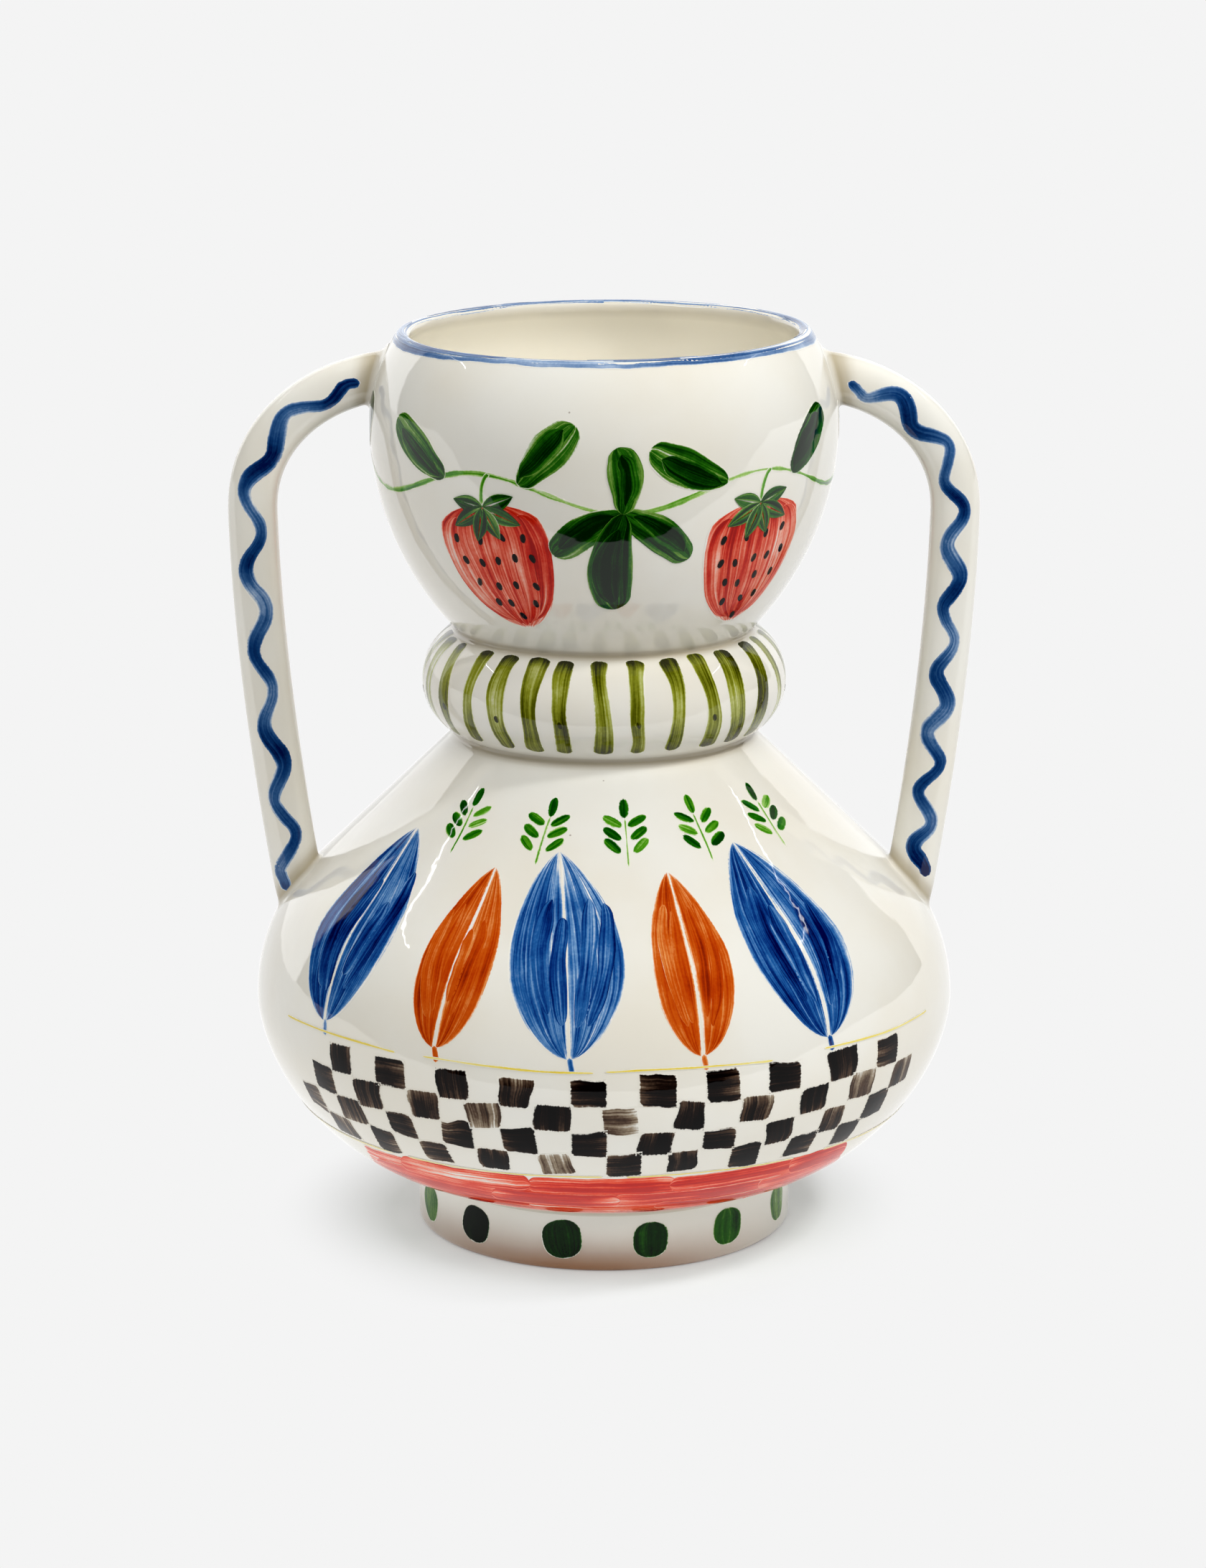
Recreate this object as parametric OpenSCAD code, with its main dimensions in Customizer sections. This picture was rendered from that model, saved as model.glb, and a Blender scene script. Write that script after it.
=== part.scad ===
// Two-handled ceramic vase: a round belly on a foot ring, a bulging collar, a bowl-shaped mouth and a pair
// of loop handles. The pieces are made apart in clay and luted together: slip between the thrown rings,
// a coil of clay worked in around each end of a handle.
// Millimetres, +Z up, +X through the right handle, origin on the ground under the vase's axis.

/* [Foot] */
// Outer radius of the foot ring
foot_r = 79; // [68:0.5:90]
// Height of the foot ring
foot_h = 27; // [18:0.5:40]
// Thickness of the foot ring
foot_wall = 10; // [6:0.5:16]
// Rounding of the edges that the foot ring stands on
foot_edge_r = 2.5; // [1:0.5:3]

/* [Thrown walls] */
// Thickness of the belly, the collar and the bowl
wall = 6.5; // [4.5:0.5:8]
// Thickness of the belly's floor
floor_t = 9; // [6:0.5:14]
// Thickness of the slip between two thrown pieces
slip_t = 0.8; // [0.4:0.1:2]

/* [Belly] */
// Greatest radius of the belly
belly_r = 146.3; // [132:0.1:160]
// Height from the belly's base to its greatest radius
belly_low_h = 71.5; // [55:0.5:90]
// Fullness of the belly below its greatest radius, where 2 is an ellipse
belly_fullness = 1.72; // [1.5:0.01:2.3]
// Radius of the curve that leads into the shoulder
shoulder_r = 71.6; // [60:0.1:82]
// Slope of the straight shoulder, from level, in degrees
shoulder_slope = 44.3; // [38:0.1:50]

/* [Collar] */
// Radius of the creases under and over the collar
neck_r = 62; // [54:0.5:68]
// Greatest radius of the collar
collar_r = 75.8; // [72:0.1:84]
// Radius of the collar's round outline
collar_tube_r = 23.4; // [19:0.1:28]

/* [Bowl] */
// Greatest radius of the bowl
bowl_r = 96.4; // [86:0.1:106]
// Height from the bowl's base to its greatest radius
bowl_low_h = 86; // [70:0.5:100]
// Height from the bowl's greatest radius to the rim
bowl_top_h = 38; // [30:0.5:46]
// Outer radius that the bowl draws in to at the rim
rim_r = 84.3; // [76:0.1:85]

/* [Handles] */
// Width of a handle, seen from the front
handle_w = 20.8; // [14:0.1:26]
// Depth of a handle, front to back
handle_d = 17.5; // [14.5:0.1:24]
// Rounding of a handle's long edges
handle_edge_r = 7; // [3:0.5:7]
// Height from a handle's upper end to the rim
handle_drop = 21; // [17:0.5:32]
// Angle that a handle droops by where it leaves the bowl
handle_droop = 10; // [4:1:26]
// Distance from the belly's greatest radius in to a handle's lower end
handle_inset = 18.6; // [12:0.1:26]
// Distance that a handle leans in from its outermost point to its lower end
handle_lean = 16.8; // [8:0.1:24]
// Width and height of the clay coil worked in around a handle's end
coil = 4; // [2:0.5:6]
// Thin edge left on the coil where it fades out along the handle
coil_edge = 0.6; // [0.3:0.1:1.2]

/* [Hidden] */
$fn = 180;
belly_steps = 24;
coil_fn = 32;
coil_slice_t = 0.01;
glaze = "#e5e3da";
slip = "#d9d3c3";

// Levels, stacked up from the ground
belly_z0 = foot_h + slip_t;
equator_z = belly_z0 + belly_low_h;
shoulder_turn = 90 - shoulder_slope;
shoulder_c = belly_r - shoulder_r;
shoulder_end = [shoulder_c + shoulder_r * cos(shoulder_turn), equator_z + shoulder_r * sin(shoulder_turn)];
belly_top = shoulder_end.y + (shoulder_end.x - neck_r) * tan(shoulder_slope);
collar_c = collar_r - collar_tube_r;
collar_half = sqrt(collar_tube_r ^ 2 - (neck_r - collar_c) ^ 2);
collar_z0 = belly_top + slip_t;
collar_z = collar_z0 + collar_half;
bowl_z0 = collar_z + collar_half + slip_t;
bowl_z = bowl_z0 + bowl_low_h;
rim_z = bowl_z + bowl_top_h;

// Opening through the neck, as wide as the shoulder's slanted wall leaves it
neck_bore_r = neck_r - wall / sin(shoulder_slope);

// Radius of an arc that starts upright and has moved `run` sideways after rising by `rise`
function arc_radius(run, rise) = (run ^ 2 + rise ^ 2) / (2 * run);

// Arcs of the bowl under and over its greatest radius
low_arc_r = arc_radius(bowl_r - neck_r, bowl_low_h);
low_c = bowl_r - low_arc_r;
top_arc_r = arc_radius(bowl_r - rim_r, bowl_top_h);
top_c = bowl_r - top_arc_r;
lip_turn = asin((bowl_top_h - wall / 2) / (top_arc_r - wall / 2));

// Outside of the bowl at a height: its radius and the angle of its surface's normal
function bowl_out(z) = z > bowl_z ? top_c + sqrt(top_arc_r ^ 2 - (z - bowl_z) ^ 2)
                                  : low_c + sqrt(low_arc_r ^ 2 - (z - bowl_z) ^ 2);
function bowl_normal(z) = asin((z - bowl_z) / (z > bowl_z ? top_arc_r : low_arc_r));

// Outside of the shoulder at a radius: its height and the angle of its surface's normal
function shoulder_z(r) = r > shoulder_end.x ? equator_z + sqrt(shoulder_r ^ 2 - (r - shoulder_c) ^ 2)
                                            : shoulder_end.y + (shoulder_end.x - r) * tan(shoulder_slope);
function shoulder_normal(r) = r > shoulder_end.x ? acos((r - shoulder_c) / shoulder_r) : shoulder_turn;

// Course of a handle in the XZ plane: bowl end, bend, outermost point, leg, belly end
upper_root = [bowl_out(rim_z - handle_drop), rim_z - handle_drop];
lower_root = [belly_r - handle_inset, shoulder_z(belly_r - handle_inset)];
reach_x = lower_root.x + handle_lean;
bend_r = (reach_x - upper_root.x) / (1 - sin(handle_droop));
reach_z = upper_root.y - bend_r * cos(handle_droop);
leg_r = arc_radius(handle_lean, reach_z - lower_root.y);
leg_turn = asin((reach_z - lower_root.y) / leg_r);

// How far a handle's ends reach into the bowl and the belly before they are cut to seat there
root_depth = handle_w;
function root_turn(r) = root_depth / r * 180 / PI;

// Point at angle a on the belly's lower curve, drawn in by `side` at the equator and `low` at the base
function belly_point(a, side, low) = [
    foot_r + (belly_r - side - foot_r) * cos(a) ^ (2 / belly_fullness),
    equator_z - (belly_low_h - low) * sin(a) ^ (2 / belly_fullness)];
function belly_curve(side, low) = [for (i = [0 : belly_steps]) belly_point(90 - 90 * i / belly_steps, side, low)];
function reversed(list) = [for (i = [len(list) - 1 : -1 : 0]) list[i]];

module ring(r_out, r_in) {
    difference() {
        circle(r_out);
        circle(r_in);
    }
}

// Wedge from the origin that reaches past radius r, from level up to angle a
module wedge(r, a) {
    polygon([[0, 0], [2 * r, 0], [2 * r * cos(a), 2 * r * sin(a)]]);
}

// Flat washer that fills the seam between two thrown pieces
module slip_washer(z, r_out, r_in) {
    color(slip) translate([0, 0, z]) rotate_extrude() translate([r_in, 0]) square([r_out - r_in, slip_t]);
}

module foot_ring() {
    foot_in = foot_r - foot_wall;
    color(glaze) rotate_extrude() {
        translate([foot_in, foot_edge_r]) square([foot_wall, foot_h - foot_edge_r]);
        translate([foot_in + foot_edge_r, 0]) square([foot_wall - 2 * foot_edge_r, foot_h]);
        translate([foot_in + foot_edge_r, foot_edge_r]) circle(foot_edge_r);
        translate([foot_r - foot_edge_r, foot_edge_r]) circle(foot_edge_r);
    }
}

module foot_slip_joint() slip_washer(foot_h, foot_r, foot_r - foot_wall);

module belly() {
    shoulder_in = shoulder_end - wall * [cos(shoulder_turn), sin(shoulder_turn)];
    color(glaze) rotate_extrude() {
        polygon(concat([[0, belly_z0]], belly_curve(0, 0), reversed(belly_curve(wall, floor_t)),
                       [[0, belly_z0 + floor_t]]));
        translate([shoulder_c, equator_z]) intersection() {
            ring(shoulder_r, shoulder_r - wall);
            wedge(shoulder_r, shoulder_turn);
        }
        polygon([shoulder_in, shoulder_end, [neck_r, belly_top], [neck_bore_r, belly_top]]);
    }
}

module lower_collar_slip_joint() slip_washer(belly_top, neck_r, neck_bore_r);

module collar_ring() {
    color(glaze) rotate_extrude() intersection() {
        translate([collar_c, collar_z]) ring(collar_tube_r, collar_tube_r - wall);
        translate([neck_bore_r, collar_z0]) square([collar_r, 2 * collar_half]);
    }
}

module upper_collar_slip_joint() slip_washer(bowl_z0 - slip_t, neck_r, neck_bore_r);

module bowl() {
    color(glaze) rotate_extrude() {
        intersection() {
            translate([low_c, bowl_z]) ring(low_arc_r, low_arc_r - wall);
            translate([0, bowl_z0]) square([bowl_r, bowl_low_h]);
        }
        translate([top_c, bowl_z]) intersection() {
            ring(top_arc_r, top_arc_r - wall);
            wedge(top_arc_r, lip_turn);
        }
        translate([top_c, bowl_z]) rotate(lip_turn) translate([top_arc_r - wall / 2, 0]) circle(wall / 2);
    }
}

// Whole space that the bowl takes up, with its inside, for seating the handles on its surface
module bowl_block() {
    rotate_extrude() {
        intersection() {
            translate([low_c, bowl_z]) circle(low_arc_r);
            translate([0, bowl_z0]) square([bowl_r, bowl_low_h]);
        }
        intersection() {
            translate([top_c, bowl_z]) circle(top_arc_r);
            translate([max(top_c, 0), bowl_z]) square([bowl_r, bowl_top_h]);
        }
        translate([0, bowl_z]) square([max(top_c, wall), bowl_top_h]);
    }
}

// Whole space that the belly takes up, with its inside, for seating the handles on its surface
module belly_block() {
    rotate_extrude() {
        polygon(concat([[0, belly_z0]], belly_curve(0, 0), [[0, equator_z]]));
        translate([shoulder_c, equator_z]) intersection() {
            circle(shoulder_r);
            wedge(shoulder_r, shoulder_turn);
        }
        polygon([[0, equator_z], [shoulder_c, equator_z], shoulder_end, [neck_r, belly_top], [0, belly_top]]);
    }
}

// Cross-section of a handle, or of a coil around it: a rounded rectangle
module rounded(w, d, r) {
    square([w - 2 * r, d], center = true);
    square([w, d - 2 * r], center = true);
    for (x = [-1, 1], y = [-1, 1]) translate([x * (w / 2 - r), y * (d / 2 - r)]) circle(r);
}

// Stretch of a handle that turns in the XZ plane about a point level with its outermost point
module handle_arc(radius, from_a, to_a) {
    translate([reach_x - radius, 0, reach_z]) rotate([90, 0, 0])
        rotate_extrude(start = from_a, angle = to_a - from_a)
            translate([radius, 0]) rounded(handle_w, handle_d, handle_edge_r);
}

// Right handle along its whole course, reaching into the bowl and the belly
module handle_course() {
    handle_arc(bend_r, 0, 90 - handle_droop + root_turn(bend_r));
    handle_arc(leg_r, -leg_turn - root_turn(leg_r), 0);
}

// Right handle, seated on the outsides of the bowl and the belly
module handle_body() {
    difference() {
        handle_course();
        bowl_block();
        belly_block();
    }
}

// Section of a coil on the plane at height h over the root, for a handle that stands askew to the surface
module coil_slice(h, grow, skew) {
    translate([-h * tan(skew), 0, h]) linear_extrude(coil_slice_t)
        rounded(handle_w / cos(skew) + 2 * grow, handle_d + 2 * grow, handle_edge_r + grow, $fn = coil_fn);
}

// Coil of clay around the right handle's end, fading from the surface out along the handle
module coil_body(root, normal_a, axis_a) {
    skew = axis_a - normal_a;
    difference() {
        translate([root.x, 0, root.y]) rotate([0, 90 - normal_a, 0]) hull() {
            coil_slice(-coil, 2 * coil, skew);
            coil_slice(coil, coil_edge, skew);
        }
        handle_course();
        children();
    }
}

module bowl_coil() {
    coil_body(upper_root, bowl_normal(upper_root.y), -handle_droop) bowl_block();
}

module belly_coil() {
    coil_body(lower_root, shoulder_normal(lower_root.x), 90 - leg_turn) belly_block();
}

module right_handle() color(glaze) handle_body();
module right_handle_bowl_coil() color(glaze) bowl_coil();
module right_handle_belly_coil() color(glaze) belly_coil();
module left_handle() color(glaze) mirror([1, 0, 0]) handle_body();
module left_handle_bowl_coil() color(glaze) mirror([1, 0, 0]) bowl_coil();
module left_handle_belly_coil() color(glaze) mirror([1, 0, 0]) belly_coil();

foot_ring();
foot_slip_joint();
belly();
lower_collar_slip_joint();
collar_ring();
upper_collar_slip_joint();
bowl();
right_handle();
right_handle_bowl_coil();
right_handle_belly_coil();
left_handle();
left_handle_bowl_coil();
left_handle_belly_coil();
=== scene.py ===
import math
from math import pi, radians

import bpy
import numpy as np
from mathutils import Matrix, Vector

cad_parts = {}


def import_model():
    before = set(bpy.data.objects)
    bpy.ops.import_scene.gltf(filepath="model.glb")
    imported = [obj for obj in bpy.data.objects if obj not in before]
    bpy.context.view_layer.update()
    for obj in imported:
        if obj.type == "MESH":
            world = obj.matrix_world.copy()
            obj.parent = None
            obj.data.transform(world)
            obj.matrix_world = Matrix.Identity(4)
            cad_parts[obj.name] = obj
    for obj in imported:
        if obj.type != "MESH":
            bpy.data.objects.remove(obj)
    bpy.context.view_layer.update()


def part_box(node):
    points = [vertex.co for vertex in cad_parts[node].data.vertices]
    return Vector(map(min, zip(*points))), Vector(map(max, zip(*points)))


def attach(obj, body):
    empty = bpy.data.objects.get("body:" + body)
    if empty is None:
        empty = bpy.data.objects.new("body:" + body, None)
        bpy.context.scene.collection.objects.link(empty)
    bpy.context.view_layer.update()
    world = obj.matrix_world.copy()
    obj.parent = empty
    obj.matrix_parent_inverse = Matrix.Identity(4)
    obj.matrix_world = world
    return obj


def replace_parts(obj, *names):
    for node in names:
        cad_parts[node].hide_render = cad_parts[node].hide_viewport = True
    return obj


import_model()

# Two-handled vase of glazed ceramic: thrown pieces with fine outlines, handles that flow into them, and
# brush-painted ornament under a glossy glaze. Metres, +Z up, the front faces -Y, angles run from the front
# to the right.
MM = 0.001
TAU = 2 * pi
rng = np.random.default_rng(seed=11)

# Sizes read from the frame
foot_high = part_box("foot_ring")[1]
belly_low, belly_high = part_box("belly")
collar_low, collar_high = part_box("collar_ring")
bowl_low, bowl_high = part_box("bowl")
handle_low, handle_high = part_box("right_handle")
FOOT_R = foot_high.x
FOOT_H = foot_high.z
BELLY_R = belly_high.x
BELLY_BASE = belly_low.z
BELLY_TOP = belly_high.z
COLLAR_R = collar_high.x
COLLAR_MID = (collar_low.z + collar_high.z) / 2
COLLAR_HALF = (collar_high.z - collar_low.z) / 2
BOWL_R = bowl_high.x
BOWL_BASE = bowl_low.z
RIM_Z = bowl_high.z
HANDLE_D = handle_high.y - handle_low.y

# Shape values that the boxes don't give
NECK_R = 62 * MM
WALL = 6.5 * MM
FLOOR_T = 9 * MM
FOOT_WALL = 10 * MM
FOOT_EDGE_R = 2.5 * MM
BELLY_LOW_H = 71.5 * MM
BELLY_FULLNESS = 1.72
SHOULDER_R = 71.6 * MM
SHOULDER_SLOPE = radians(44.3)
COLLAR_TUBE_R = 23.4 * MM
BOWL_TOP_H = 38 * MM
RIM_R = 84.3 * MM
HANDLE_W = 20.8 * MM
HANDLE_DROP = 21 * MM
HANDLE_DROOP = radians(10)
HANDLE_INSET = 18.6 * MM
HANDLE_LEAN = 16.8 * MM

# Unevenness of hand work, kept inside the frame's box
SKIN_INSET = 0.42 * MM
UNEVEN = 0.24 * MM
LIP_INSET = 0.4 * MM
RIM_DIP = 1.2 * MM
RING_MARK = 0.1 * MM
RING_PITCH = 2.6 * MM
FINE_PITCH = 1.7 * MM
RINGS_FADE = 10 * MM

# Waves in the roundness of thrown pieces: strength, number round the piece, twist up it, and start
SWELLS = ((1, 2, 35, 0), (0.6, 3, -50, 1.3), (0.4, 5, 80, 0))

# Fineness of the meshes
SEGMENTS = 240
OUTER_STEP = 2 * MM
INNER_STEP = 3.5 * MM
LEVEL_STEP = 8 * MM
SHARP_ANGLE = radians(50)

# Paint thickness
PAINT_LIFT = 0.07 * MM
LAYER_STEP = 0.035 * MM
PAINT_SINK = 0.2 * MM
ACROSS_STEP = 2.2 * MM


def draw(low, high):
    """Random number between two."""
    return rng.uniform(low, high)


def peak(x, width):
    """1 where x is 0, falling off smoothly on both sides."""
    return np.exp(-(x / width) ** 2)


def pairs(x, y):
    """Points from their two coordinates."""
    return np.stack(np.broadcast_arrays(x, y), axis=-1)


def unit(ways):
    """Directions with their lengths set to 1."""
    return ways / np.linalg.norm(ways, axis=1, keepdims=True)


def step_lengths(points):
    """How far it is from each point to the next."""
    return np.linalg.norm(np.diff(points, axis=0), axis=1)


def distances(points):
    """How far each point lies along the line through them."""
    return np.concatenate([[0], np.cumsum(step_lengths(points))])


def arc_radius(run, rise):
    """Radius of an arc that starts upright and has moved run sideways after rising by rise."""
    return (run ** 2 + rise ** 2) / (2 * run)


def arc(center, radius, start, end, steps=48):
    """Points of an arc, with angles in radians from level."""
    a = np.linspace(start, end, steps)
    return pairs(center[0] + radius * np.cos(a), center[1] + radius * np.sin(a))


def join(*parts):
    """One line of points from several, without the points that repeat where they meet."""
    points = np.concatenate([np.array(part, float) for part in parts])
    return points[np.concatenate([[True], step_lengths(points) > 1e-6])]


class Curve:
    """Line through points in a plane, read by the distance along it."""

    def __init__(self, points):
        self.points = np.array(points, float)
        self.along = distances(self.points)
        self.length = self.along[-1]
        way = unit(np.gradient(self.points, self.along, axis=0))
        self.facing = pairs(way[:, 1], -way[:, 0])

    def at(self, s, lift=0.0):
        """Both coordinates at distance s, moved off the line by lift towards its right-hand side."""
        columns = zip(self.points.T, self.facing.T)
        return [np.interp(s, self.along, on) + lift * np.interp(s, self.along, off) for on, off in columns]

    def steps(self, spacing):
        """Evenly spaced distances along the line."""
        return np.linspace(0, self.length, max(2, round(self.length / spacing) + 1))

    def even(self, spacing):
        """Evenly spaced points of the line."""
        return pairs(*self.at(self.steps(spacing)))


def throw(r, z, angle):
    """Point of a thrown piece, with the slight unevenness of hand work and a rim that dips to the left."""
    swell = sum(size * np.sin(waves * angle + twist * z + start) for size, waves, twist, start in SWELLS)
    r = r * (1 - (SKIN_INSET - UNEVEN * swell / 2) / BELLY_R)
    rise = np.clip((z - BOWL_MID) / BOWL_TOP_H, 0, 1)
    dip = LIP_INSET * rise + RIM_DIP * rise ** 2 * (1 - np.sin(angle)) / 2
    return np.stack(np.broadcast_arrays(r * np.sin(angle), -r * np.cos(angle), z - dip), axis=-1)


class Skin(Curve):
    """Outside of a thrown piece, from the bottom up, as a place to paint on."""

    def height(self, z):
        """Distance along the outline, up to its top, where it is at height z."""
        top = np.argmax(self.points[:, 1]) + 1
        return np.interp(z, self.points[:top, 1], self.along[:top])

    def spot(self, angle, z):
        """Place round one point of the skin: x runs to the right and y up, in metres on the surface."""
        middle = self.height(z)

        def place(x, y, lift):
            r = self.at(middle + y)[0]
            return throw(*self.at(middle + y, lift), radians(angle) + x / r)
        return place

    def band(self, z):
        """Place on a ring of the skin: x runs round it from the front, y up. Also gives the way round."""
        middle = self.height(z)
        radius = self.at(middle)[0]

        def place(x, y, lift):
            return throw(*self.at(middle + y, lift), x / radius)
        return place, TAU * radius


# Levels and arcs of the thrown pieces
EQUATOR_Z = BELLY_BASE + BELLY_LOW_H
SHOULDER_TURN = pi / 2 - SHOULDER_SLOPE
SHOULDER_C = BELLY_R - SHOULDER_R
NECK_BORE_R = NECK_R - WALL / math.sin(SHOULDER_SLOPE)
COLLAR_C = COLLAR_R - COLLAR_TUBE_R
COLLAR_TURN = math.asin(COLLAR_HALF / COLLAR_TUBE_R)
BOWL_MID = RIM_Z - BOWL_TOP_H
BOWL_LOW_H = BOWL_MID - BOWL_BASE
LOW_ARC_R = arc_radius(BOWL_R - NECK_R, BOWL_LOW_H)
LOW_C = BOWL_R - LOW_ARC_R
TOP_ARC_R = arc_radius(BOWL_R - RIM_R, BOWL_TOP_H)
TOP_C = BOWL_R - TOP_ARC_R
LIP_TURN = math.asin((BOWL_TOP_H - WALL / 2) / (TOP_ARC_R - WALL / 2))
LIP_C = (TOP_C + (TOP_ARC_R - WALL / 2) * math.cos(LIP_TURN),
         BOWL_MID + (TOP_ARC_R - WALL / 2) * math.sin(LIP_TURN))


def belly_curve(side, low):
    """Belly from its base to its greatest radius, drawn in by side at the radius and by low at the base."""
    a = np.linspace(pi / 2, 0, 60)
    power = 2 / BELLY_FULLNESS
    r = FOOT_R + (BELLY_R - side - FOOT_R) * np.cos(a) ** power
    z = EQUATOR_Z - (BELLY_LOW_H - low) * np.sin(a) ** power
    return pairs(r, z)


def shoulder_arc(inset):
    return arc((SHOULDER_C, EQUATOR_Z), SHOULDER_R - inset, 0, SHOULDER_TURN)


foot_skin = Skin(join(arc((FOOT_R - FOOT_EDGE_R, FOOT_EDGE_R), FOOT_EDGE_R, -pi / 2, 0),
                      [[FOOT_R, FOOT_H]]))
belly_skin = Skin(join(belly_curve(0, 0), shoulder_arc(0), [[NECK_R, BELLY_TOP]]))
collar_skin = Skin(arc((COLLAR_C, COLLAR_MID), COLLAR_TUBE_R, -COLLAR_TURN, COLLAR_TURN))
bowl_skin = Skin(join(arc((LOW_C, BOWL_MID), LOW_ARC_R, -math.asin(BOWL_LOW_H / LOW_ARC_R), 0, 96),
                      arc((TOP_C, BOWL_MID), TOP_ARC_R, 0, LIP_TURN),
                      arc(LIP_C, WALL / 2, LIP_TURN, LIP_TURN + pi, 24)))


def linear(*srgb):
    """Linear colour from the 0 to 255 values of a screen."""
    c = np.array(srgb) / 255
    return (*np.where(c <= 0.04045, c / 12.92, ((c + 0.055) / 1.055) ** 2.4), 1.0)


def node(tree, kind, inputs=(), **options):
    """Adds a shader node, sets its options, fills its inputs with values or links and gives its outputs."""
    made = tree.nodes.new("ShaderNode" + kind)
    for key, value in options.items():
        setattr(made, key, value)
    for key, value in dict(inputs).items():
        if isinstance(value, bpy.types.NodeSocket):
            tree.links.new(value, made.inputs[key])
        else:
            made.inputs[key].default_value = value
    return made.outputs


def calc(tree, operation, *values):
    """Result of an operation on numbers or links."""
    return node(tree, "Math", enumerate(values), operation=operation)[0]


def times(tree, first, second, plus=0.0):
    """Product of two numbers or links, plus a third."""
    return calc(tree, "MULTIPLY_ADD", first, second, plus)


def noise(tree, vector, scale=1.0, detail=2.0, stretch=(1, 1, 1)):
    """Noise from 0 to 1, stretched along the axes of the vector."""
    spread = node(tree, "VectorMath", {0: vector, 1: stretch}, operation="MULTIPLY")[0]
    return node(tree, "TexNoise", {"Vector": spread, "Scale": scale, "Detail": detail})[0]


def ramp(tree, factor, stops):
    """Colour looked up along stops of (place, colour)."""
    looked_up = node(tree, "ValToRGB", {"Fac": factor})["Color"]
    elements = looked_up.node.color_ramp.elements
    while len(elements) < len(stops):
        elements.new(1.0)
    for element, (place, color) in zip(elements, stops):
        element.position = place
        element.color = color
    return looked_up


def attribute(tree, name):
    return node(tree, "Attribute", attribute_name=name)["Fac"]


def fade(tree, value, low, high):
    """Number that rises smoothly from 0 at low to 1 at high."""
    return node(tree, "MapRange", {0: value, 1: low, 2: high}, interpolation_type="SMOOTHSTEP")[0]


def blend(tree, factor, first, second):
    """Colour between two colours."""
    return node(tree, "Mix", {0: factor, 6: first, 7: second}, data_type="RGBA")[2]


def new_material(name):
    """Material made of nodes, and their tree."""
    material = bpy.data.materials.new(name)
    material.use_nodes = True
    return material, material.node_tree


# Gloss of the glaze, bare and over paint, and the slight waves that it lies in
GLAZE_IOR = 1.6
PAINT_IOR = 1.36
DEEP_IOR = 1.2
GLAZE_ROUGHNESS = 0.03
RIPPLE_SHARE = 0.16
WAVE_STRENGTH = 0.6
WAVE_HEIGHT = 1.1 * MM


def glossy(name, color_of, ior):
    """Ceramic under a clear glaze that lies in slight waves. color_of adds the nodes of its colour."""
    material, tree = new_material(name)
    spot = node(tree, "TexCoord")["Object"]
    waves = noise(tree, spot, scale=22, detail=1.0)
    height = times(tree, noise(tree, spot, scale=95), RIPPLE_SHARE, waves)
    bump = node(tree, "Bump", {"Strength": WAVE_STRENGTH, "Distance": WAVE_HEIGHT, "Height": height})
    shader = tree.nodes["Principled BSDF"]
    shader.inputs["Roughness"].default_value = GLAZE_ROUGHNESS
    shader.inputs["IOR"].default_value = ior
    tree.links.new(color_of(tree, spot), shader.inputs["Base Color"])
    tree.links.new(bump[0], shader.inputs["Normal"])
    return material


# Glaze: its colours, among them a lighter inner one that is painted light and a darker one for painted shade
# in creases (partly glaze that gathers there), and how strongly that shade and the specks show
GLAZE_SCREEN = (231, 229, 220)
GLAZE_WHITE = linear(*GLAZE_SCREEN)
GLAZE_WARM = linear(227, 222, 208)
GLAZE_POOL_SHADE = linear(168, 155, 126)
GLAZE_INSIDE_LIT = linear(248, 243, 228)
# Foot: lighter glaze (painted light), the brown of painted shade towards its bottom, and bare clay where it
# is wiped off
FOOT_LIT_WHITE = linear(247, 243, 234)
FOOT_SHADE_BROWN = linear(140, 92, 50)
BARE_CLAY = linear(118, 78, 44)
SPECK = linear(120, 100, 78)
POOL_SHADE_SHARE = 0.85
SPECK_SHARE = 0.6

# Foot: how much lighter its glaze is (painted light), heights between which painted shade darkens it towards
# the bottom or the glaze is wiped off, how uneven they are, how far left the painted shade is strongest, and
# how much less it is at the sides
FOOT_LIT_SHARE = 0.7
FOOT_SHADE_HEIGHTS = (24 * MM, 1 * MM)
WIPED = (1.4 * MM, 2.4 * MM)
UNEVEN_HEIGHT = 2.2 * MM
FOOT_SHADE_LEFT = 0.15
SIDE_LESS_SHADE = 0.75

# Paint: stretch of hairs and bands along a stroke, and how it thins and ends at the edge
HAIR_STRETCH = (28, 1100, 1)
BAND_STRETCH = (11, 300, 1)
EDGE_LOSS = 0.5
EDGE_START = 0.08


def glaze_color(tree, spot):
    """Warm white with clouds and ash specks, lighter inside (painted light), darker at creases (painted
    shade).
    """
    clouds = fade(tree, noise(tree, spot, scale=13, detail=4.0), 0.35, 0.7)
    color = blend(tree, clouds, GLAZE_WHITE, GLAZE_WARM)
    # Lighter, creamier glaze inside the bowl: painted light that stands in for the light inside it
    color = blend(tree, attribute(tree, "inside"), color, GLAZE_INSIDE_LIT)
    # Painted shade, partly glaze that gathers: darker in creases, at the lip's inner edge and at the handles'
    # roots
    pooled_shade = times(tree, attribute(tree, "pool_and_shade"), POOL_SHADE_SHARE)
    color = blend(tree, pooled_shade, color, GLAZE_POOL_SHADE)
    cells = node(tree, "TexVoronoi", {"Vector": spot, "Scale": 75})
    grain = fade(tree, cells["Distance"], 0.045, 0.02)
    kind = node(tree, "SeparateColor", {0: cells["Color"]})[0]
    rare = fade(tree, kind, 0.93, 0.95)
    specks = times(tree, times(tree, grain, rare), SPECK_SHARE)
    return blend(tree, specks, color, SPECK)


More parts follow.
